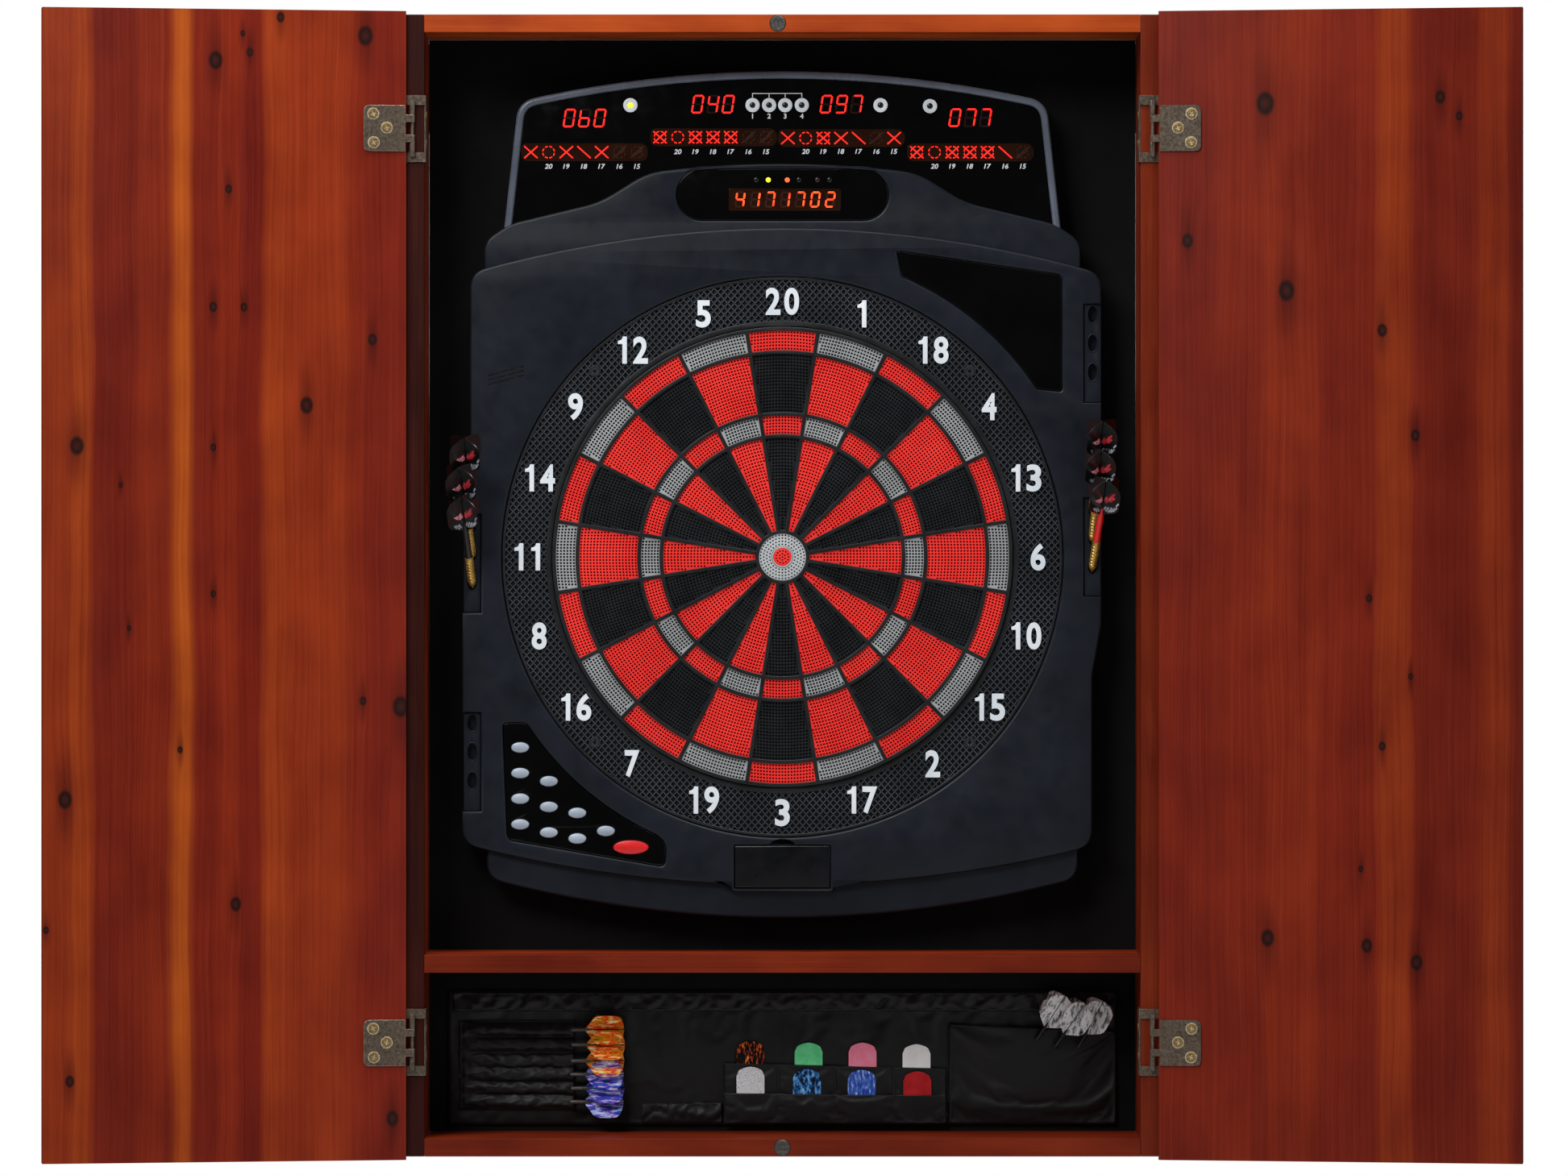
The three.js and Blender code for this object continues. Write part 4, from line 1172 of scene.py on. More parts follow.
def make_bull():
    inner = RADII["inner_bull"]
    rims = [circle(RADII["bull"] - BAR, steps=96), circle(inner + 0.9, steps=64)]
    ring = dotted(rims, round_holes(BULL_HOLES), BULL_Y, BULL_BACK)
    stand_in("outer_bull_segment", ring, [bull_grey, hole_painted_shade], "grey_plastic")
    eye = dotted([circle(inner - 0.7, steps=64)], round_holes(EYE_HOLES), BULL_Y - 0.3, BULL_BACK)
    stand_in("inner_bull_segment", eye, [segment_red, red_hole_painted_shade], "red_plastic")
    rim = slab([circle(inner + 0.5, steps=64), circle(inner - 0.5, steps=64)], BULL_Y + 3, BULL_Y - 0.5, 0.35)
    piece("bull_rim", rim, bull_grey, "grey_plastic")


def make_spider():
    openings = [circle(RADII["bull"] - BAR + 0.1, steps=96)]
    for inner, outer, _, _ in BANDS.values():
        for index in range(len(NUMBERS)):
            openings.append(segment_outline(RADII[inner] + BAR, RADII[outer] - BAR, index))
    web = slab([circle(RADII["double_out"] + 1.6, steps=240), *openings], SPIDER_Y + 7.0, SPIDER_Y, 0.5, 2)
    stand_in("spider", web, black_plastic, "black_plastic")


RIB = {"pitch": 4.35, "half": 0.34, "angle": 48.0, "deep": 2.6}
BAND_IN = 5.0  # smooth band round the doubles
BAND_OUT = 2.6  # and round the ring's rim
RING_SCREWS = [(-161, 159.6), (161, 159.6), (161, -159.6), (-161, -159.6)]  # from the target's centre


def ring_ribs(inner, outer):
    """Straight ribs in two directions, each cut off at the ring's two circles."""
    runs = []
    for angle in (RIB["angle"], -RIB["angle"]):
        along = Vector((math.cos(math.radians(angle)), math.sin(math.radians(angle))))
        across = Vector((-along.y, along.x))
        count = int(outer / RIB["pitch"])
        for i in range(-count, count + 1):
            offset = (i + 0.5) * RIB["pitch"]
            if abs(offset) >= outer - 1:
                continue
            far = math.sqrt(outer**2 - offset**2)
            near = math.sqrt(inner**2 - offset**2) if abs(offset) < inner else None
            spans = [(-far, far)] if near is None else [(-far, -near), (near, far)]
            runs += [(across * offset + along * a, across * offset + along * b, across) for a, b in spans]
    return runs


def make_catch_ring():
    inner, outer = RADII["double_out"] + 2.0, RING_RADIUS
    floor_y = RING_Y + RIB["deep"]
    profile = ((-1, floor_y + 0.4), (-1, RING_Y + 0.35), (1, RING_Y + 0.35), (1, floor_y + 0.4))
    ribs = []
    for start, end, across in ring_ribs(inner + BAND_IN - 0.6, outer - BAND_OUT + 0.6):
        spots = [[(place + across * side * RIB["half"], y) for side, y in profile] for place in (start, end)]
        ribs.append(prism([[(spot.x, y, TARGET_Z + spot.y) for spot, y in loop] for loop in spots]))
    # The floor under the ribs is in painted shade, for the dark space behind them.
    floor = slab([circle(outer - 0.5, steps=240), circle(inner + 0.5, steps=200)], floor_y + 1.5, floor_y, 0.2)
    bands = joined(
        slab([circle(inner + BAND_IN, steps=240), circle(inner, steps=240)], floor_y + 1, RING_Y, 0.5),
        slab([circle(outer, steps=240), circle(outer - BAND_OUT, steps=240)], floor_y + 1, RING_Y, 0.6),
    )
    stand_in("catch_ring", joined(tinted(bands, 0), tinted(joined(*ribs), 1), tinted(floor, 2)),
             [black_plastic, mesh_plastic, hole_painted_shade], "black_plastic")
    for index, (x, z) in enumerate(RING_SCREWS):
        # Each screw well, and its screw, is in painted shade.
        rims = [ellipse(x, TARGET_Z + z, radius, radius, steps) for radius, steps in ((5.2, 32), (2.6, 24))]
        boss = slab(rims, floor_y + 1, RING_Y + 0.2, 0.4)
        piece(f"ring_screw_boss_{index}", boss, hole_painted_shade, "black_plastic")
        place = facing(PLACE @ Vector((x, RING_Y + 1.6, TARGET_Z + z)), (0, -1, 0), 0.3 * index)
        piece(f"ring_screw_{index}", cross_head_screw(2.5), hole_painted_shade, "black_plastic", place=place)


NUMBER_RADIUS = 219.5
DIGIT = {"height": 23.4, "width": 12.8, "gap": 3.2, "gap_by_one": 4.8, "one": 9.6}


def text_mesh(text, x, z, height, back, front, squeeze=0.8, weight=0.03, slant=0.0):
    """Raised lettering of a plain sans face, centred on (x, z). height is that of a numeral."""
    data = bpy.data.curves.new("text", "FONT")
    data.body = text
    data.align_x, data.align_y = "CENTER", "CENTER"
    data.size = height / 0.73
    data.offset = weight * height
    data.shear = slant
    data.extrude = (back - front) / 2
    data.resolution_u = 6
    mesh = mesh_of_curve(data)
    xs = [v.co.x for v in mesh.vertices]
    ys = [v.co.y for v in mesh.vertices]
    mesh.transform(Matrix.Translation((-(min(xs) + max(xs)) / 2, -(min(ys) + max(ys)) / 2, 0)))
    scale = Matrix.Diagonal((squeeze, height / (max(ys) - min(ys)), 1, 1))
    mesh.transform(Matrix.Translation((x, (back + front) / 2, z)) @ UPRIGHT @ scale)
    return cleaned(mesh)


# The numeral 1, in shares of its height.
ONE = [(0.02, -0.5), (0.02, 0.22), (-0.16, 0.22), (-0.16, 0.335), (-0.06, 0.36), (0.01, 0.41), (0.045, 0.5),
       (0.21, 0.5), (0.21, -0.5)]


def numeral_mesh(text, x, z):
    """One of the ring's numbers, its numerals side by side and centred on (x, z)."""
    height, back, front = DIGIT["height"], RING_Y + 2.2, RING_Y - 1.0
    widths = [DIGIT["one"] if c == "1" else DIGIT["width"] for c in text]
    gap = DIGIT["gap_by_one"] if "1" in text else DIGIT["gap"]
    at = x - (sum(widths) + gap * (len(text) - 1)) / 2
    meshes = []
    for character, width in zip(text, widths):
        middle = at + width / 2
        if character == "1":
            shape = outline([(middle + px * height * 0.9, z + pz * height, 0.3) for px, pz in ONE], 2)
            meshes.append(slab([shape], back, front, 0.3))
        else:
            mesh = text_mesh(character, middle, z, height, back, front, 1.0, 0.042)
            xs = [v.co.x for v in mesh.vertices]
            squeeze = Matrix.Diagonal((width / (max(xs) - min(xs)), 1, 1, 1))
            mesh.transform(Matrix.Translation((middle, 0, 0)) @ squeeze @ Matrix.Translation((-middle, 0, 0)))
            meshes.append(mesh)
        at += width + gap
    return joined(*meshes)


def make_numbers():
    for index, number in enumerate(NUMBERS):
        turn = math.radians(90 - index * SECTOR)
        x, z = NUMBER_RADIUS * math.cos(turn), TARGET_Z + NUMBER_RADIUS * math.sin(turn)
        piece(f"number_{number}", numeral_mesh(str(number), x, z), number_plastic, "number_grey", bevel=0.3)


make_segments()
make_bull()
make_spider()
make_catch_ring()
make_numbers()

# --- Displays, plates and buttons ---

LIT_BARS = {"0": "abcdef", "1": "bc", "2": "abdeg", "4": "bcfg", "6": "cdefg", "7": "abc", "9": "abcdfg"}
SCORES = [(-169.9, 401.7, "060"), (-59.6, 413.6, "040"), (50.8, 413.6, "097"), (161.4, 402.0, "077")]
SCORE_DIGIT = {"width": 9.5, "height": 16.0, "bar": 1.5, "pitch": 13.1, "slant": 0.16}
TURN_DIGIT = {"width": 8.2, "height": 13.8, "bar": 1.6, "pitch": 12.9, "slant": 0.13}
TURN_DIGITS = "4171702"
# Rows of marks: first mark's x, height of the marks and of the small numbers, and each mark's
# parts: cross strokes / and \, and a ring o.
MARK_ROWS = [
    (-216.0, 372.4, 360.2, ["/\\", "o", "/\\", "\\", "/\\", "", ""]),
    (-105.1, 385.2, 372.8, ["/\\o", "o", "/\\o", "/\\o", "/\\o", "", ""]),
    (4.8, 384.5, 373.0, ["/\\", "o", "/\\o", "/\\", "\\", "", "/\\"]),
    (115.5, 372.3, 360.3, ["/\\o", "o", "/\\o", "/\\o", "/\\o", "\\", ""]),
]
MARK_PITCH = 15.2
TEAM_LAMPS = [-25.6, -11.4, 2.4, 16.7]
TEAM_Z, TEAM_NUMBERS_Z = 412.8, 403.4
OTHER_LAMPS = [(-130.6, 412.8, True), (84.3, 412.8, False), (126.8, 412.0, False)]


def bar_ends(width, height, bar):
    """The two ends of each bar of a seven-bar digit, about its centre."""
    right, top = (width - bar) / 2, (height - bar) / 2
    corners = {
        "a": (-1, 1, 1, 1), "b": (1, 1, 1, 0), "c": (1, 0, 1, -1), "d": (-1, -1, 1, -1),
        "e": (-1, -1, -1, 0), "f": (-1, 0, -1, 1), "g": (-1, 0, 1, 0),
    }
    return {
        name: ((x0 * right, z0 * top), (x1 * right, z1 * top)) for name, (x0, z0, x1, z1) in corners.items()
    }


def digit_bars(character, x, z, form, lit=True):
    """Outlines of a digit's lit or unlit bars, each with pointed ends."""
    shapes = []
    for name, (start, end) in bar_ends(form["width"], form["height"], form["bar"]).items():
        if (name in LIT_BARS[character]) != lit:
            continue
        start, end, half = Vector(start), Vector(end), form["bar"] / 2
        along = (end - start).normalized()
        across = Vector((-along.y, along.x)) * half
        start, end = start + along * 0.3 * half, end - along * 0.3 * half
        run = [start, start + along * half - across, end - along * half - across, end,
               end - along * half + across, start + along * half + across]
        shapes.append([(x + p.x + form["slant"] * p.y, z + p.y) for p in run])
    return shapes


def print_on(name, shapes, front, material, slot, lift=0.12, depth=0.3):
    """Thin raised shapes on a surface whose front is at that y."""
    return piece(name, slab(shapes, front - lift + depth, front - lift, 0.04, 1), material, slot, smooth=20)


def print_digits(name, places, z, form, front, lit, dim, slot, lift):
    """Seven-bar digits at (character, x) places, the lit bars standing over the unlit ones."""
    for ending, shown, material, group, rise in (("", True, lit, slot, lift),
                                                 ("_unlit", False, dim, "black_gloss", lift - 0.2)):
        bars = [bar for c, x in places for bar in digit_bars(c, x, z, form, shown)]
        print_on(name + ending, bars, front, material, group, rise)


TURN_FIRST, TURN_Z = -36.3, 331.5
TURN_LAMPS = [
    (-22.5, lamp_dark, "black_gloss"), (-12.1, lamp_yellow, "lamp_yellow"), (4.2, lamp_orange, "lamp_red"),
    (14.2, lamp_dark, "black_gloss"), (30.1, lamp_off, "black_gloss"), (40.5, lamp_dark, "black_gloss"),
]
TURN_LAMPS_Z = 348.4
TURN_DOME = [(2.1, 0), (2.1, 0.2), (1.8, 0.5), (1.0, 0.75), (0.2, 0.8)]


def make_scores():
    for x, z, text in SCORES:
        places = [(c, x + (i - 1) * SCORE_DIGIT["pitch"]) for i, c in enumerate(text)]
        print_digits(f"score_{text}", places, z, SCORE_DIGIT, LENS_Y, lamp_red, lamp_faint, "lamp_red", 0.3)
    front = TURN_LENS_Y
    places = [(c, TURN_FIRST + i * TURN_DIGIT["pitch"]) for i, c in enumerate(TURN_DIGITS)]
    print_digits("turn_digits", places, TURN_Z, TURN_DIGIT, front, lamp_orange, lamp_off, "lamp_red", 0.4)
    print_on("turn_window", [rectangle(-46, 50, 322, 341, 2, 4)], front, lamp_window, "black_gloss", 0.1)
    for index, (x, material, slot) in enumerate(TURN_LAMPS):
        piece(f"turn_lamp_{index}", facing_front(turned(TURN_DOME, 24), x, front, TURN_LAMPS_Z), material, slot)


def ring_arcs(x, z, radius, half, count=8, share=0.62):
    arcs = []
    for i in range(count):
        middle, reach = 2 * math.pi * (i + 0.5) / count, math.pi * share / count
        turns = [middle + reach * (k / 3 - 1) for k in range(7)]
        run = [(radius + half, t) for t in turns] + [(radius - half, t) for t in turns[::-1]]
        arcs.append([(x + r * math.cos(t), z + r * math.sin(t)) for r, t in run])
    return arcs


def small_number(name, number, x, z, slant=0.0):
    """One of the little white numbers printed on the crown's lens."""
    label = text_mesh(str(number), x, z, 4.3, LENS_Y + 0.2, LENS_Y - 0.12, 1.05, 0.03, slant)
    piece(name, label, gloss_print, "number_grey", smooth=20)


def make_marks():
    reach, rise, half = 5.7, 5.1, 0.55
    for row, (first, z, label_z, marks) in enumerate(MARK_ROWS, 1):
        strip = rectangle(first - 8.5, first + 6 * MARK_PITCH + 9, z - 7.6, z + 7.6, 7)
        print_on(f"mark_window_{row}", [strip], LENS_Y, lamp_window, "black_gloss", 0.08)
        layers = {"/": [], "\\": [], "o": []}
        dim = []
        for i, parts in enumerate(marks):
            x = first + i * MARK_PITCH
            shapes = {
                "/": [stroke([(x - reach, z - rise), (x + reach, z + rise)], half)],
                "\\": [stroke([(x - reach, z + rise), (x + reach, z - rise)], half)],
                "o": ring_arcs(x, z, 5.0, 0.45),
            }
            for part, outlines in shapes.items():
                if part in parts:
                    layers[part] += outlines
            if not parts:
                dim += shapes["o"] + [outline(s) for s in shapes["/"]]
        # Each kind of mark stands a little higher than the one before, as they cross each other.
        rises = [(0.25 + 0.07 * k, shapes) for k, shapes in enumerate(layers.values()) if shapes]
        meshes = [slab(shapes, LENS_Y, LENS_Y - rise, 0.04, 1) for rise, shapes in rises]
        piece(f"marks_{row}", joined(*meshes), lamp_red, "lamp_red", smooth=20)
        print_on(f"marks_unlit_{row}", dim, LENS_Y, lamp_off, "black_gloss", 0.14)
        for i, number in enumerate(range(20, 14, -1), 1):
            small_number(f"mark_number_{row}_{number}", number, first + i * MARK_PITCH, label_z, 0.2)


LAMP_RING = [(6.1, 0), (6.1, 0.25), (5.2, 0.6), (3.6, 0.6), (2.5, 0.2), (2.4, 0)]
LAMP_DOME = [(2.3, 0.5), (2.3, 0.62), (1.8, 1.0), (1.0, 1.3), (0.15, 1.4)]


def lamp_ring(name, x, z, lit=False):
    piece(name + "_ring", facing_front(turned(LAMP_RING, 40), x, LENS_Y, z), gloss_print, "number_grey")
    piece(name, facing_front(turned(LAMP_DOME, 28), x, LENS_Y, z), lamp_yellow if lit else lamp_dark,
          "lamp_yellow" if lit else "black_gloss")


def make_lamps():
    for index, (x, z, lit) in enumerate(OTHER_LAMPS):
        lamp_ring(f"mode_lamp_{index}", x, z, lit)
    for index, x in enumerate(TEAM_LAMPS, 1):
        lamp_ring(f"team_lamp_{index}", x, TEAM_Z)
        small_number(f"team_number_{index}", index, x, TEAM_NUMBERS_Z)
    left, right, top, low, half = TEAM_LAMPS[0], TEAM_LAMPS[-1], 423.2, 419.4, 0.35
    comb = [(left - half, low), (left - half, top), (right + half, top)]
    for x in TEAM_LAMPS[::-1]:
        comb += [(x + half, top - 2 * half), (x + half, low), (x - half, low), (x - half, top - 2 * half)]
    # The outer sides of the two end teeth are the bracket's own edges.
    print_on("team_bracket", [comb[:3] + comb[4:-2]], LENS_Y, gloss_print, "number_grey")


BUTTONS = [name for name in nodes if name.endswith("_button")]
FLANGE = 1.5  # round each button, behind the keypad plate
DOME = (0.93, 0.84, 0.72, 0.56, 0.38, 0.2, 0.02)  # radii of a button's domed top, as shares


def cap_size(node):
    """The middle of a button, and its cap's half-width and half-height."""
    low, high = extent(node)
    return middle_of(node), (high.x - low.x) / 2 - FLANGE, (high.z - low.z) / 2 - FLANGE


def make_plates():
    holes = []
    for node in BUTTONS:
        middle, half_x, half_z = cap_size(node)
        holes.append(ellipse(middle.x, middle.z, half_x + 0.45, half_z + 0.45, 40))
    for node, rim, openings in (("keypad_plate", keypad_outline(), holes),
                                ("corner_plate", corner_plate_outline(), [])):
        low, high = extent(node)
        stand_in(node, slab([grown(rim, -0.35), *openings], high.y, low.y, 0.2), black_gloss, "black_gloss")


def make_buttons():
    """Domed oval caps, each on its flange and stem."""
    for node in BUTTONS:
        top, (middle, half_x, half_z) = front_of(node), cap_size(node)
        rim, back = top + 1.5, extent("keypad_plate")[1].y + 0.3
        rows = [(1.0, back), (1.0, rim), (0.985, rim - 0.3)]
        rows += [(share, top + 1.2 * share * share) for share in DOME]
        cap = turned([(share, -y) for share, y in rows], 48)
        cap.transform(Matrix.Diagonal((half_x, half_z, 1, 1)))
        cap = facing_front(cap, middle.x, 0, middle.z)
        red = node == "start_button"
        foot = slab([ellipse(middle.x, middle.z, half_x + 1.3, half_z + 1.3, 40)], back + 1.5, back, 0.2)
        stem = box_mesh((middle.x - 2, back + 1, middle.z - 2), (middle.x + 2, BODY_Y + 10, middle.z + 2))
        stand_in(node, joined(cap, foot, stem), button_red if red else button_grey,
                 "red_plastic" if red else "grey_plastic", node)


make_scores()
make_marks()
make_lamps()
make_plates()
make_buttons()
for hidden, finish in (("display_circuit_board", circuit_green), ("main_circuit_board", circuit_green),
                       ("speaker", zinc), ("sensor_mat", black_plastic)):
    nodes[hidden].material_slots[0].material = finish

# --- Darts ---

film_black = printed_film(
    "flight_black", [(0.0, "#050506"), (0.7, "#0b0b0d"), (1.0, "#16161a")], 3.2, roughness=0.3)
film_red = printed_film(
    "flight_red", [(0.0, "#7a1018"), (0.5, "#b01c28"), (0.8, "#c8404a"), (1.0, "#e08a8e")], 1.6)
film_pink = printed_film(
    "flight_pink", [(0.0, "#b03038"), (0.4, "#d8707a"), (0.7, "#eaa8ac"), (1.0, "#f0c8c8")], 1.8)
film_streak = printed_film("flight_streak", [(0.0, "#565b62"), (0.6, "#a0a6ae"), (1.0, "#d0d4d8")])

BARREL = [(0.5, -7.0), (1.1, -5.5), (1.2, -4.0), (2.3, -3.2), (3.1, -1.2), (3.5, 1.0)]
for groove in range(7):
    start = 2.4 + groove * 3.0
    BARREL += [(3.5, start), (3.15, start + 0.35), (3.15, start + 0.9), (3.5, start + 1.25)]
BARREL += [(3.5, 24.0), (2.9, 25.2), (2.4, 25.4)]
SHAFT = [(2.2, 25.0), (3.1, 25.6), (3.1, 30.0), (2.75, 32.0), (2.75, 48.0), (2.3, 52.0), (1.2, 58.0)]
FLIGHT = [(0.7, 0), (7.5, 4.0), (14.5, 8.0), (17.2, 11.0), (18.0, 14.5), (18.0, 25.0), (17.0, 29.0),
          (13.5, 32.0), (7.0, 33.6), (0.7, 34.5)]
FLIGHT_AT = 52.0
PATCHES = {
    # fin's turn: its patch as (distance from the axis, distance along it)
    -45: [(0.9, 15.0), (3.0, 20.0), (5.5, 19.0), (9.0, 24.5), (12.0, 27.0), (10.8, 22.0), (13.2, 22.5),
          (9.0, 17.0), (5.5, 15.5), (3.6, 13.0)],
    -135: [(0.9, 14.0), (2.8, 19.0), (6.0, 17.4), (11.5, 18.0), (7.6, 14.4), (3.6, 12.6)],
}
STREAKS = {
    # fin's turn: strokes from point to point
    -45: [((2.2, 6.0), (4.2, 10.0)), ((4.4, 5.2), (7.4, 11.0)), ((7.0, 5.6), (10.6, 12.0)),
          ((9.6, 6.8), (13.6, 13.2)), ((12.4, 9.2), (16.0, 14.4)), ((14.6, 15.2), (17.2, 19.2))],
    -135: [((3.6, 4.4), (6.6, 9.0)), ((6.2, 4.6), (9.4, 9.6)), ((9.0, 6.4), (11.6, 10.2))],
}


def dart_place(point, direction, right=(1, 0, 0)):
    """Takes something made along Z to a line through point, with X as near to right as can be."""
    z = Vector(direction).normalized()
    y = z.cross(Vector(right)).normalized()
    turn = Matrix((y.cross(z), y, z)).transposed().to_4x4()
    return PLACE @ Matrix.Translation(point) @ turn


def fin(profile, turn, thick, start=0.0):
    """A thin plate standing on the dart's axis, from (distance, length) points."""
    c, s = math.cos(math.radians(turn)), math.sin(math.radians(turn))
    return prism([[(r * c - half * s, r * s + half * c, start + along) for r, along in profile]
                  for half in (-thick / 2, thick / 2)])


def flight_mesh(start=0.0, turns=(45, 135, -135, -45), scale=1.0):
    profile = [(r * scale, along * scale) for r, along in FLIGHT]
    return joined(*[fin(profile, turn, 0.3, start) for turn in turns])


def make_dart(name, place, shaft, slot):
    piece(name + "_barrel", turned(BARREL, 28), brass, "brass", place=place)
    piece(name + "_shaft", turned(SHAFT, 24), shaft, slot, place=place)
    piece(name + "_flight", flight_mesh(FLIGHT_AT), film_black, "flight_film", place=place)
    films = [film_pink, film_streak, film_red]
    marks = [(shape, turn, 2 if turn == -45 else 0) for turn, shape in PATCHES.items()]
    marks += [(stroke(line, 0.75), turn, 1) for turn, lines in STREAKS.items() for line in lines]
    printed = [tinted(fin(shape, turn, 0.42, FLIGHT_AT), film) for shape, turn, film in marks]
    piece(name + "_flight_print", joined(*printed), films, "flight_film", place=place)


def make_held_darts():
    leans = random.Random(7)
    for node, side, shaft, slot in (("right_lower_dart_holder", 1, shaft_red, "red_plastic"),
                                    ("left_upper_dart_holder", -1, black_plastic, "black_plastic")):
        low, x = extent(node)[0], middle_of(node).x
        for index, z in enumerate(hole_heights(node)):
            sway = side * leans.uniform(0.05, 0.15)
            direction = (sway, -math.cos(HOLDER_LEAN), math.sin(HOLDER_LEAN))
            make_dart(f"{node[:-7]}_{index}", dart_place((x, low.y, z), direction), shaft, slot)


make_held_darts()

# --- Nylon pouch with its darts and spare flights ---

POUCH_LOW, POUCH_HIGH = extent("accessory_pouch")
BACK_Y = front_of("back_panel")  # the face that the pouch hangs on
CLOTH_FRAMES = 24


def coordinates(mesh):
    values = np.empty(len(mesh.vertices) * 3)
    mesh.vertices.foreach_get("co", values)
    return values.reshape(-1, 3)


def settled(mesh, pins, grow, most):
    """The sheet after a cloth simulation that holds the pinned points, as moves of each point in mm.

    Sewn nylon is cut a little large for its seams, so the cloth grows by a share and puckers.
    """
    holder = bpy.data.objects.new("cloth", mesh)
    scene.collection.objects.link(holder)
    group = holder.vertex_groups.new(name="pins")
    group.add([int(i) for i in np.nonzero(pins)[0]], 1.0, "REPLACE")
    cloth = holder.modifiers.new("cloth", "CLOTH")
    settings = cloth.settings
    settings.vertex_group_mass = "pins"
    settings.quality = 6
    settings.mass = 0.05
    settings.effector_weights.gravity = 0.08
    settings.bending_stiffness = 0.02
    settings.shrink_min = settings.shrink_max = -grow
    cloth.point_cache.frame_start = 1
    cloth.point_cache.frame_end = CLOTH_FRAMES
    for step in range(1, CLOTH_FRAMES + 1):
        scene.frame_set(step)
    result = holder.evaluated_get(bpy.context.evaluated_depsgraph_get()).data
    moves = (coordinates(result) - coordinates(mesh)) / MM
    scene.frame_set(1)
    bpy.data.objects.remove(holder)
    lengths = np.linalg.norm(moves, axis=1, keepdims=True)
    return moves * np.minimum(1.0, most / np.maximum(lengths, 1e-9))


def sewn_sheet(name, edges, cells, height, pinned, grow, most):
    """One panel of nylon. edges is (x0, x1, z of the bottom, z of the top left, z of the top right),
    cells the columns and rows, height(u, v) how far in front of the back panel each point starts,
    and pinned(u, v) tells which points the stitches hold.
    """
    x0, x1, bottom, top_left, top_right = edges
    columns, rows = cells
    points, pins = [], []
    for row in range(rows + 1):
        for column in range(columns + 1):
            u, v = column / columns, row / rows
            z = bottom + (top_left + (top_right - top_left) * u - bottom) * v
            points.append((x0 + (x1 - x0) * u, BACK_Y - height(u, v), z))
            pins.append(pinned(u, v))
    wide = columns + 1
    faces = [(r * wide + c, r * wide + c + 1, (r + 1) * wide + c + 1, (r + 1) * wide + c)
             for r in range(rows) for c in range(columns)]
    mesh = bpy.data.meshes.new(name)
    mesh.from_pydata(points, [], faces)
    copy = mesh.copy()
    copy.transform(PLACE)
    moves = settled(copy, np.array(pins), grow, most)
    made = np.array(points) + moves
    made[:, 1] = np.clip(made[:, 1], POUCH_LOW.y, BACK_Y - 0.9)
    mesh.vertices.foreach_set("co", made.ravel())
    mesh.update()
    sheet = piece(name, mesh, nylon, "black_nylon", smooth=60)
    thick = sheet.modifiers.new("thickness", "SOLIDIFY")
    thick.thickness = 0.35 * MM
    thick.offset = 0
    tall = sum(math.hypot((top_left - bottom) / rows, height(0.7, (r + 1) / rows) - height(0.7, r / rows))
               for r in range(rows))
    return sheet


def ripple(u, v, wide, tall, seed):
    """Smooth noise from -1 to 1 over a sheet of that size in millimetres."""
    return noise.noise(Vector((u * wide, v * tall, seed)))


def on_edge(u, v, sides=True, top=True, bottom=True):
    near = 1e-6
    return (sides and (u < near or u > 1 - near)) or (top and v > 1 - near) or (bottom and v < near)


SLEEVES = [-382.6, -395.8, -409.7, -421.5, -433.3, -445.2]
SLEEVE_X = (-279.0, -179.5)
SLEEVE_Z = (-451.5, -376.0)
DIVIDERS = [-50.4, -3.8, 45.5, 96.3, 140.7]
POCKET_TOPS = {"upper": (-411.8, -416.7), "lower": (-437.6, -439.6)}
HEM_LOW = -367.5


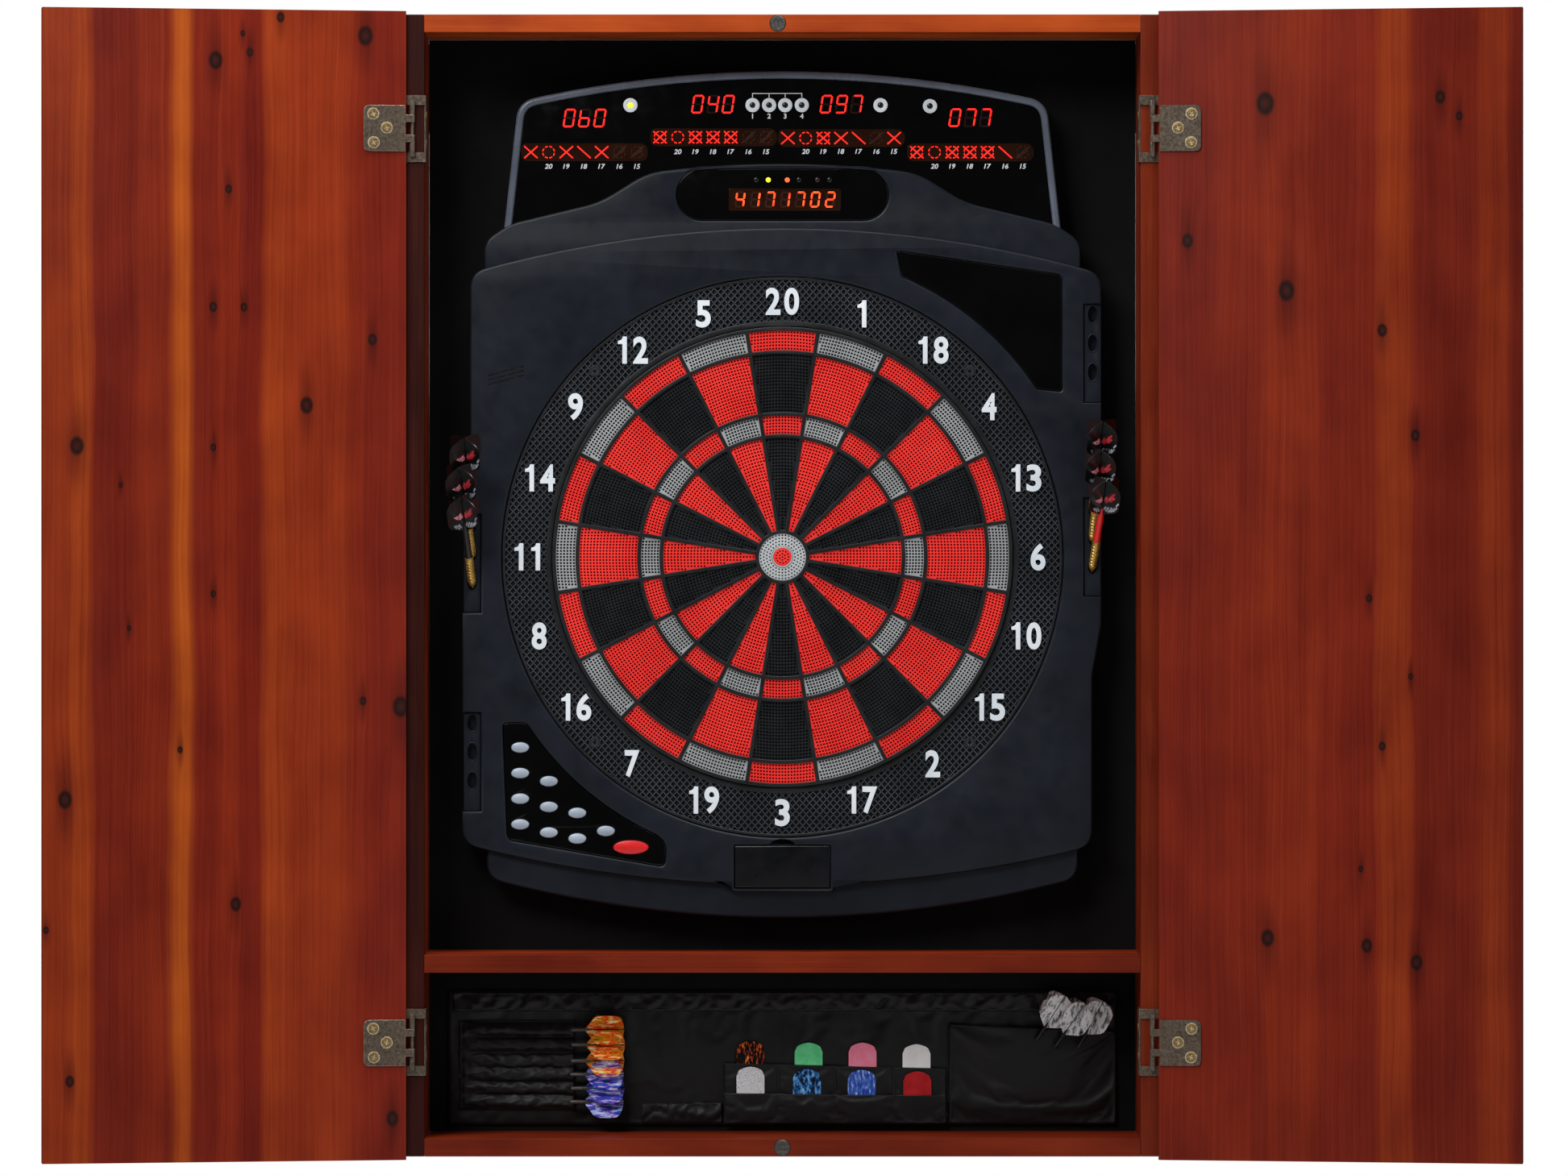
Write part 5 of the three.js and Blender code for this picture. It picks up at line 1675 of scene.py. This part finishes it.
def make_pouch_cloth():
    x0, x1 = POUCH_LOW.x + 0.5, POUCH_HIGH.x - 0.5
    z0, z1 = POUCH_LOW.z + 0.5, POUCH_HIGH.z - 0.5
    panel = sewn_sheet(
        "pouch_panel", (x0, x1, z0, z1, z1), (170, 40),
        lambda u, v: 1.7 + 0.6 * ripple(u, v, 26, 5, 1.0) + 0.25 * ripple(u, v, 70, 12, 2.0),
        lambda u, v: on_edge(u, v), 0.015, 1.0)
    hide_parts("accessory_pouch")
    hem = (x0 + 4, x1 - 1, HEM_LOW, z1 - 1.5, z1 - 1.5)
    sewn_sheet("pouch_top_hem", hem, (220, 9),
               lambda u, v: 3.2 + math.sin(math.pi * v) * (0.5 + 1.1 * ripple(u, v, 62, 1.5, 3.0)),
               lambda u, v: on_edge(u, v, sides=False), 0.05, 1.6)
    sewn_sheet("pouch_lower_hem", (-122, -52, z0 + 1, -446, -446), (50, 8),
               lambda u, v: 3.2 + math.sin(math.pi * v) * (0.5 + 1.0 * ripple(u, v, 14, 1.5, 4.0)),
               lambda u, v: on_edge(u, v), 0.05, 1.6)

    def tube(u, v):
        """Six sleeves round the barrels inside them, drawn in to a point at their left ends."""
        z = SLEEVE_Z[0] + (SLEEVE_Z[1] - SLEEVE_Z[0]) * v
        x = SLEEVE_X[0] + (SLEEVE_X[1] - SLEEVE_X[0]) * u
        offset = min(abs(z - middle) for middle in SLEEVES)
        full = min(1.0, max(0.0, (x - SLEEVE_X[0] - 3) / 26)) ** 0.7
        round_part = math.sqrt(max(0.0, 1 - (offset / 6.0) ** 2))
        return 2.9 + 5.0 * full * round_part + 0.35 * ripple(u, v, 9, 12, 5.0)

    def seam(u, v):
        z = SLEEVE_Z[0] + (SLEEVE_Z[1] - SLEEVE_Z[0]) * v
        return min(abs(z - middle) for middle in SLEEVES) > 5.2 or u < 1e-6

    sleeves = (*SLEEVE_X, SLEEVE_Z[0], SLEEVE_Z[1], SLEEVE_Z[1])
    sewn_sheet("dart_sleeves", sleeves, (60, 66), tube, seam, 0.02, 1.0)

    for level, out in (("upper", 4.4), ("lower", 7.2)):
        top = POCKET_TOPS[level]
        bottom = -443.0 if level == "upper" else z0 + 1.5
        wide = DIVIDERS[-1] - DIVIDERS[0]

        def belly(u, v, out=out, wide=wide):
            x = DIVIDERS[0] + wide * u
            cell = next(i for i in range(4) if x <= DIVIDERS[i + 1] + 1e-6)
            share = (x - DIVIDERS[cell]) / (DIVIDERS[cell + 1] - DIVIDERS[cell])
            return out + 1.5 * math.sin(math.pi * share) * (0.35 + 0.65 * v) + 0.25 * ripple(u, v, 16, 3, out)

        def stitched(u, v, wide=wide):
            x = DIVIDERS[0] + wide * u
            return on_edge(u, v, top=False) or min(abs(x - d) for d in DIVIDERS) < 0.9

        pocket = (DIVIDERS[0], DIVIDERS[-1], bottom, *top)
        sewn_sheet(f"{level}_flight_pocket", pocket, (110, 18), belly, stitched, 0.012, 0.7)

    sewn_sheet(
        "large_pocket", (143.5, 288.0, z0 + 1, -377.7, -384.0), (76, 46),
        lambda u, v: 3.2 + 4.6 * math.sin(math.pi * u) ** 0.7 * (0.3 + 0.7 * v) * min(1, 6 * v)
        + 0.5 * ripple(u, v, 6, 4, 8.0),
        lambda u, v: on_edge(u, v, top=False), 0.01, 1.2)


STITCH = {"pitch": 3.1, "long": 2.2, "half": 0.28}


def make_stitches():
    """Rows of short raised stitches in black thread."""
    x0, x1, z1 = POUCH_LOW.x + 6, POUCH_HIGH.x - 3, POUCH_HIGH.z
    rows = [((x0, z1 - 3.4), (x1, z1 - 3.4), 4.4), ((x0, HEM_LOW + 1.4), (x1, HEM_LOW + 1.4), 4.4),
            ((-121, -447.4), (-53, -447.4), 4.4), ((145.5, -379.6), (286, -385.8), 9.0),
            ((DIVIDERS[0] + 2, POUCH_LOW.z + 4), (DIVIDERS[-1], POUCH_LOW.z + 4), 7.0),
            ((145.4, -382), (145.4, -463), 4.6), ((286.4, -388), (286.4, -463), 4.6)]
    rows += [((x, POCKET_TOPS["upper"][0] - 4), (x, POUCH_LOW.z + 4), 6.6) for x in DIVIDERS[1:-1]]
    dashes = []
    for start, end, lift in rows:
        start, end = Vector(start), Vector(end)
        along = (end - start).normalized()
        for i in range(int((end - start).length / STITCH["pitch"])):
            spot = start + along * STITCH["pitch"] * i
            run = stroke([spot, spot + along * STITCH["long"]], STITCH["half"])
            dash = outline([(*p, 0.3) for p in run], 2)
            dashes.append(slab([dash], BACK_Y - (lift - 0.8), BACK_Y - lift, 0.12, 1))
    piece("pouch_stitching", joined(*dashes), thread, "black_nylon")


SLEEVE_SHAFT = [(1.6, -14.0), (1.9, -12.0), (1.9, 0.0), (1.2, 4.0)]
SLEEVED_X = -168.0  # where the sleeved darts' flights begin
POCKET_DARTS = [(226.5, -380.0, 33), (243.0, -386.0, 35), (261.5, -386.0, 28)]  # x, z, degrees from upright
FLAT_FLIGHTS = [
    # x, z of the peak, how far in front of the back panel, name of its film
    (-27.5, -393.0, 3.6, "flame"), (22.6, -394.4, 3.6, "green"), (69.2, -394.4, 3.6, "pink"),
    (115.7, -395.8, 3.6, "white"), (-27.5, -414.9, 6.6, "grey"), (21.2, -417.0, 6.6, "frost"),
    (68.5, -417.6, 6.6, "storm"), (116.4, -418.9, 6.6, "red"),
]
EVEN, GRAINED = (1, 1, 1), (0.5, 1.0, 2.2)
FILMS = {
    # name: (stops of its colours, size of its patches, how each axis is multiplied for them)
    "flame": ([(0.0, "#050303"), (0.5, "#0c0503"), (0.62, "#8c2208"), (0.8, "#e06a14"), (1.0, "#f6c050")],
              1.9, (1.0, 1.0, 0.35)),
    "green": ([(0.0, "#58d488"), (1.0, "#78eca4")], 9.0, EVEN),
    "pink": ([(0.0, "#ff80a0"), (1.0, "#ff9cb8")], 9.0, EVEN),
    "white": ([(0.0, "#f2f3f4"), (1.0, "#ffffff")], 9.0, EVEN),
    "grey": ([(0.0, "#a8acb2"), (0.5, "#dcdfe3"), (1.0, "#f8f9fa")], 1.2, EVEN),
    "frost": ([(0.0, "#05080e"), (0.35, "#0e2444"), (0.6, "#3484d0"), (1.0, "#a4dcff")], 2.0, (1.0, 1.0, 0.5)),
    "storm": ([(0.0, "#1e2a84"), (0.5, "#3460c4"), (0.75, "#7494e4"), (1.0, "#f2f6ff")], 2.6, (1.4, 1.0, 0.4)),
    "red": ([(0.0, "#a4161b"), (1.0, "#c02428")], 9.0, EVEN),
    "gold": ([(0.0, "#6a4a10"), (0.3, "#d8a020"), (0.45, "#e8401a"), (0.58, "#f04018"), (0.7, "#f6d050"),
              (1.0, "#fff8e4")], 6.0, GRAINED),
    "violet": ([(0.0, "#10134a"), (0.35, "#2450c0"), (0.5, "#6a34a0"), (0.62, "#c8b8f0"), (0.75, "#78b4ec"),
                (1.0, "#ffffff")], 6.0, GRAINED),
    "silver": ([(0.0, "#1c1d20"), (0.35, "#9a9ea4"), (0.52, "#f0f2f4"), (1.0, "#ffffff")], 3.4, (1.0, 1.0, 0.4)),
}


def flat_flight(x, z, lift):
    """A spare flight laid flat, with a slight crease down its middle."""
    half, shoulder, length = 12.0, 6.5, 27.0
    rim = []
    for i in range(13):
        t = -1 + i / 6
        drop = 1.5 * abs(t) + 3.4 * abs(t) ** 2.4 + shoulder * max(0.0, (abs(t) - 0.8) / 0.2) ** 2 * 0.5
        rim.append((x + half * t, z - drop))
    points, faces = [], []
    for depth in (0.0, 0.35):
        for px, pz in rim:
            y = BACK_Y - (lift + 0.9 * (1 - abs(px - x) / half) - depth)
            points += [(px, y, pz), (px, y, z - length)]
    count = 2 * len(rim)
    for i in range(0, count - 2, 2):
        faces += [(base + i, base + i + 2, base + i + 3, base + i + 1) for base in (0, count)]
        faces += [(at, at + 2, count + at + 2, count + at) for at in (i, i + 1)]
    faces += [(0, 1, count + 1, count), (count - 2, count - 1, 2 * count - 1, 2 * count - 2)]
    return mesh_of(points, faces)


def pouch_dart(name, place, film, shaft, slot, start, scale):
    """What shows of a dart in the pouch: the end of its shaft, and its flight."""
    piece(name + "_shaft", turned(SLEEVE_SHAFT, 20), shaft, slot, place=place)
    piece(name + "_flight", flight_mesh(start, scale=scale), film, "flight_film", place=place)


def make_pouch_contents():
    films = {name: printed_film("flight_" + name, *layout, roughness=0.22) for name, layout in FILMS.items()}
    sway = random.Random(11)
    for index, z in enumerate(SLEEVES):
        x = SLEEVED_X + sway.uniform(-0.8, 0.8)
        place = dart_place((x, BACK_Y - 12.6, z), (1, 0, sway.uniform(-0.03, 0.03)), (0, 0, 1))
        film = films["gold" if index < 3 else "violet"]
        pouch_dart(f"sleeved_dart_{index}", place, film, magnet_steel, "magnet_steel", -2.0, 0.98)
    for index, (x, z, lift, film) in enumerate(FLAT_FLIGHTS):
        piece(f"spare_flight_{index}", flat_flight(x, z, lift), films[film], "flight_film", smooth=20)
    for index, (x, z, lean) in enumerate(POCKET_DARTS):
        direction = (math.sin(math.radians(lean)), -0.12, math.cos(math.radians(lean)))
        place = dart_place((x, BACK_Y - 11.6, z), direction)
        pouch_dart(f"pocket_dart_{index}", place, films["silver"], black_plastic, "black_plastic", -1.0, 0.95)


make_pouch_cloth()
make_stitches()
make_pouch_contents()

# --- Last update of the view layer ---

bpy.context.view_layer.update()
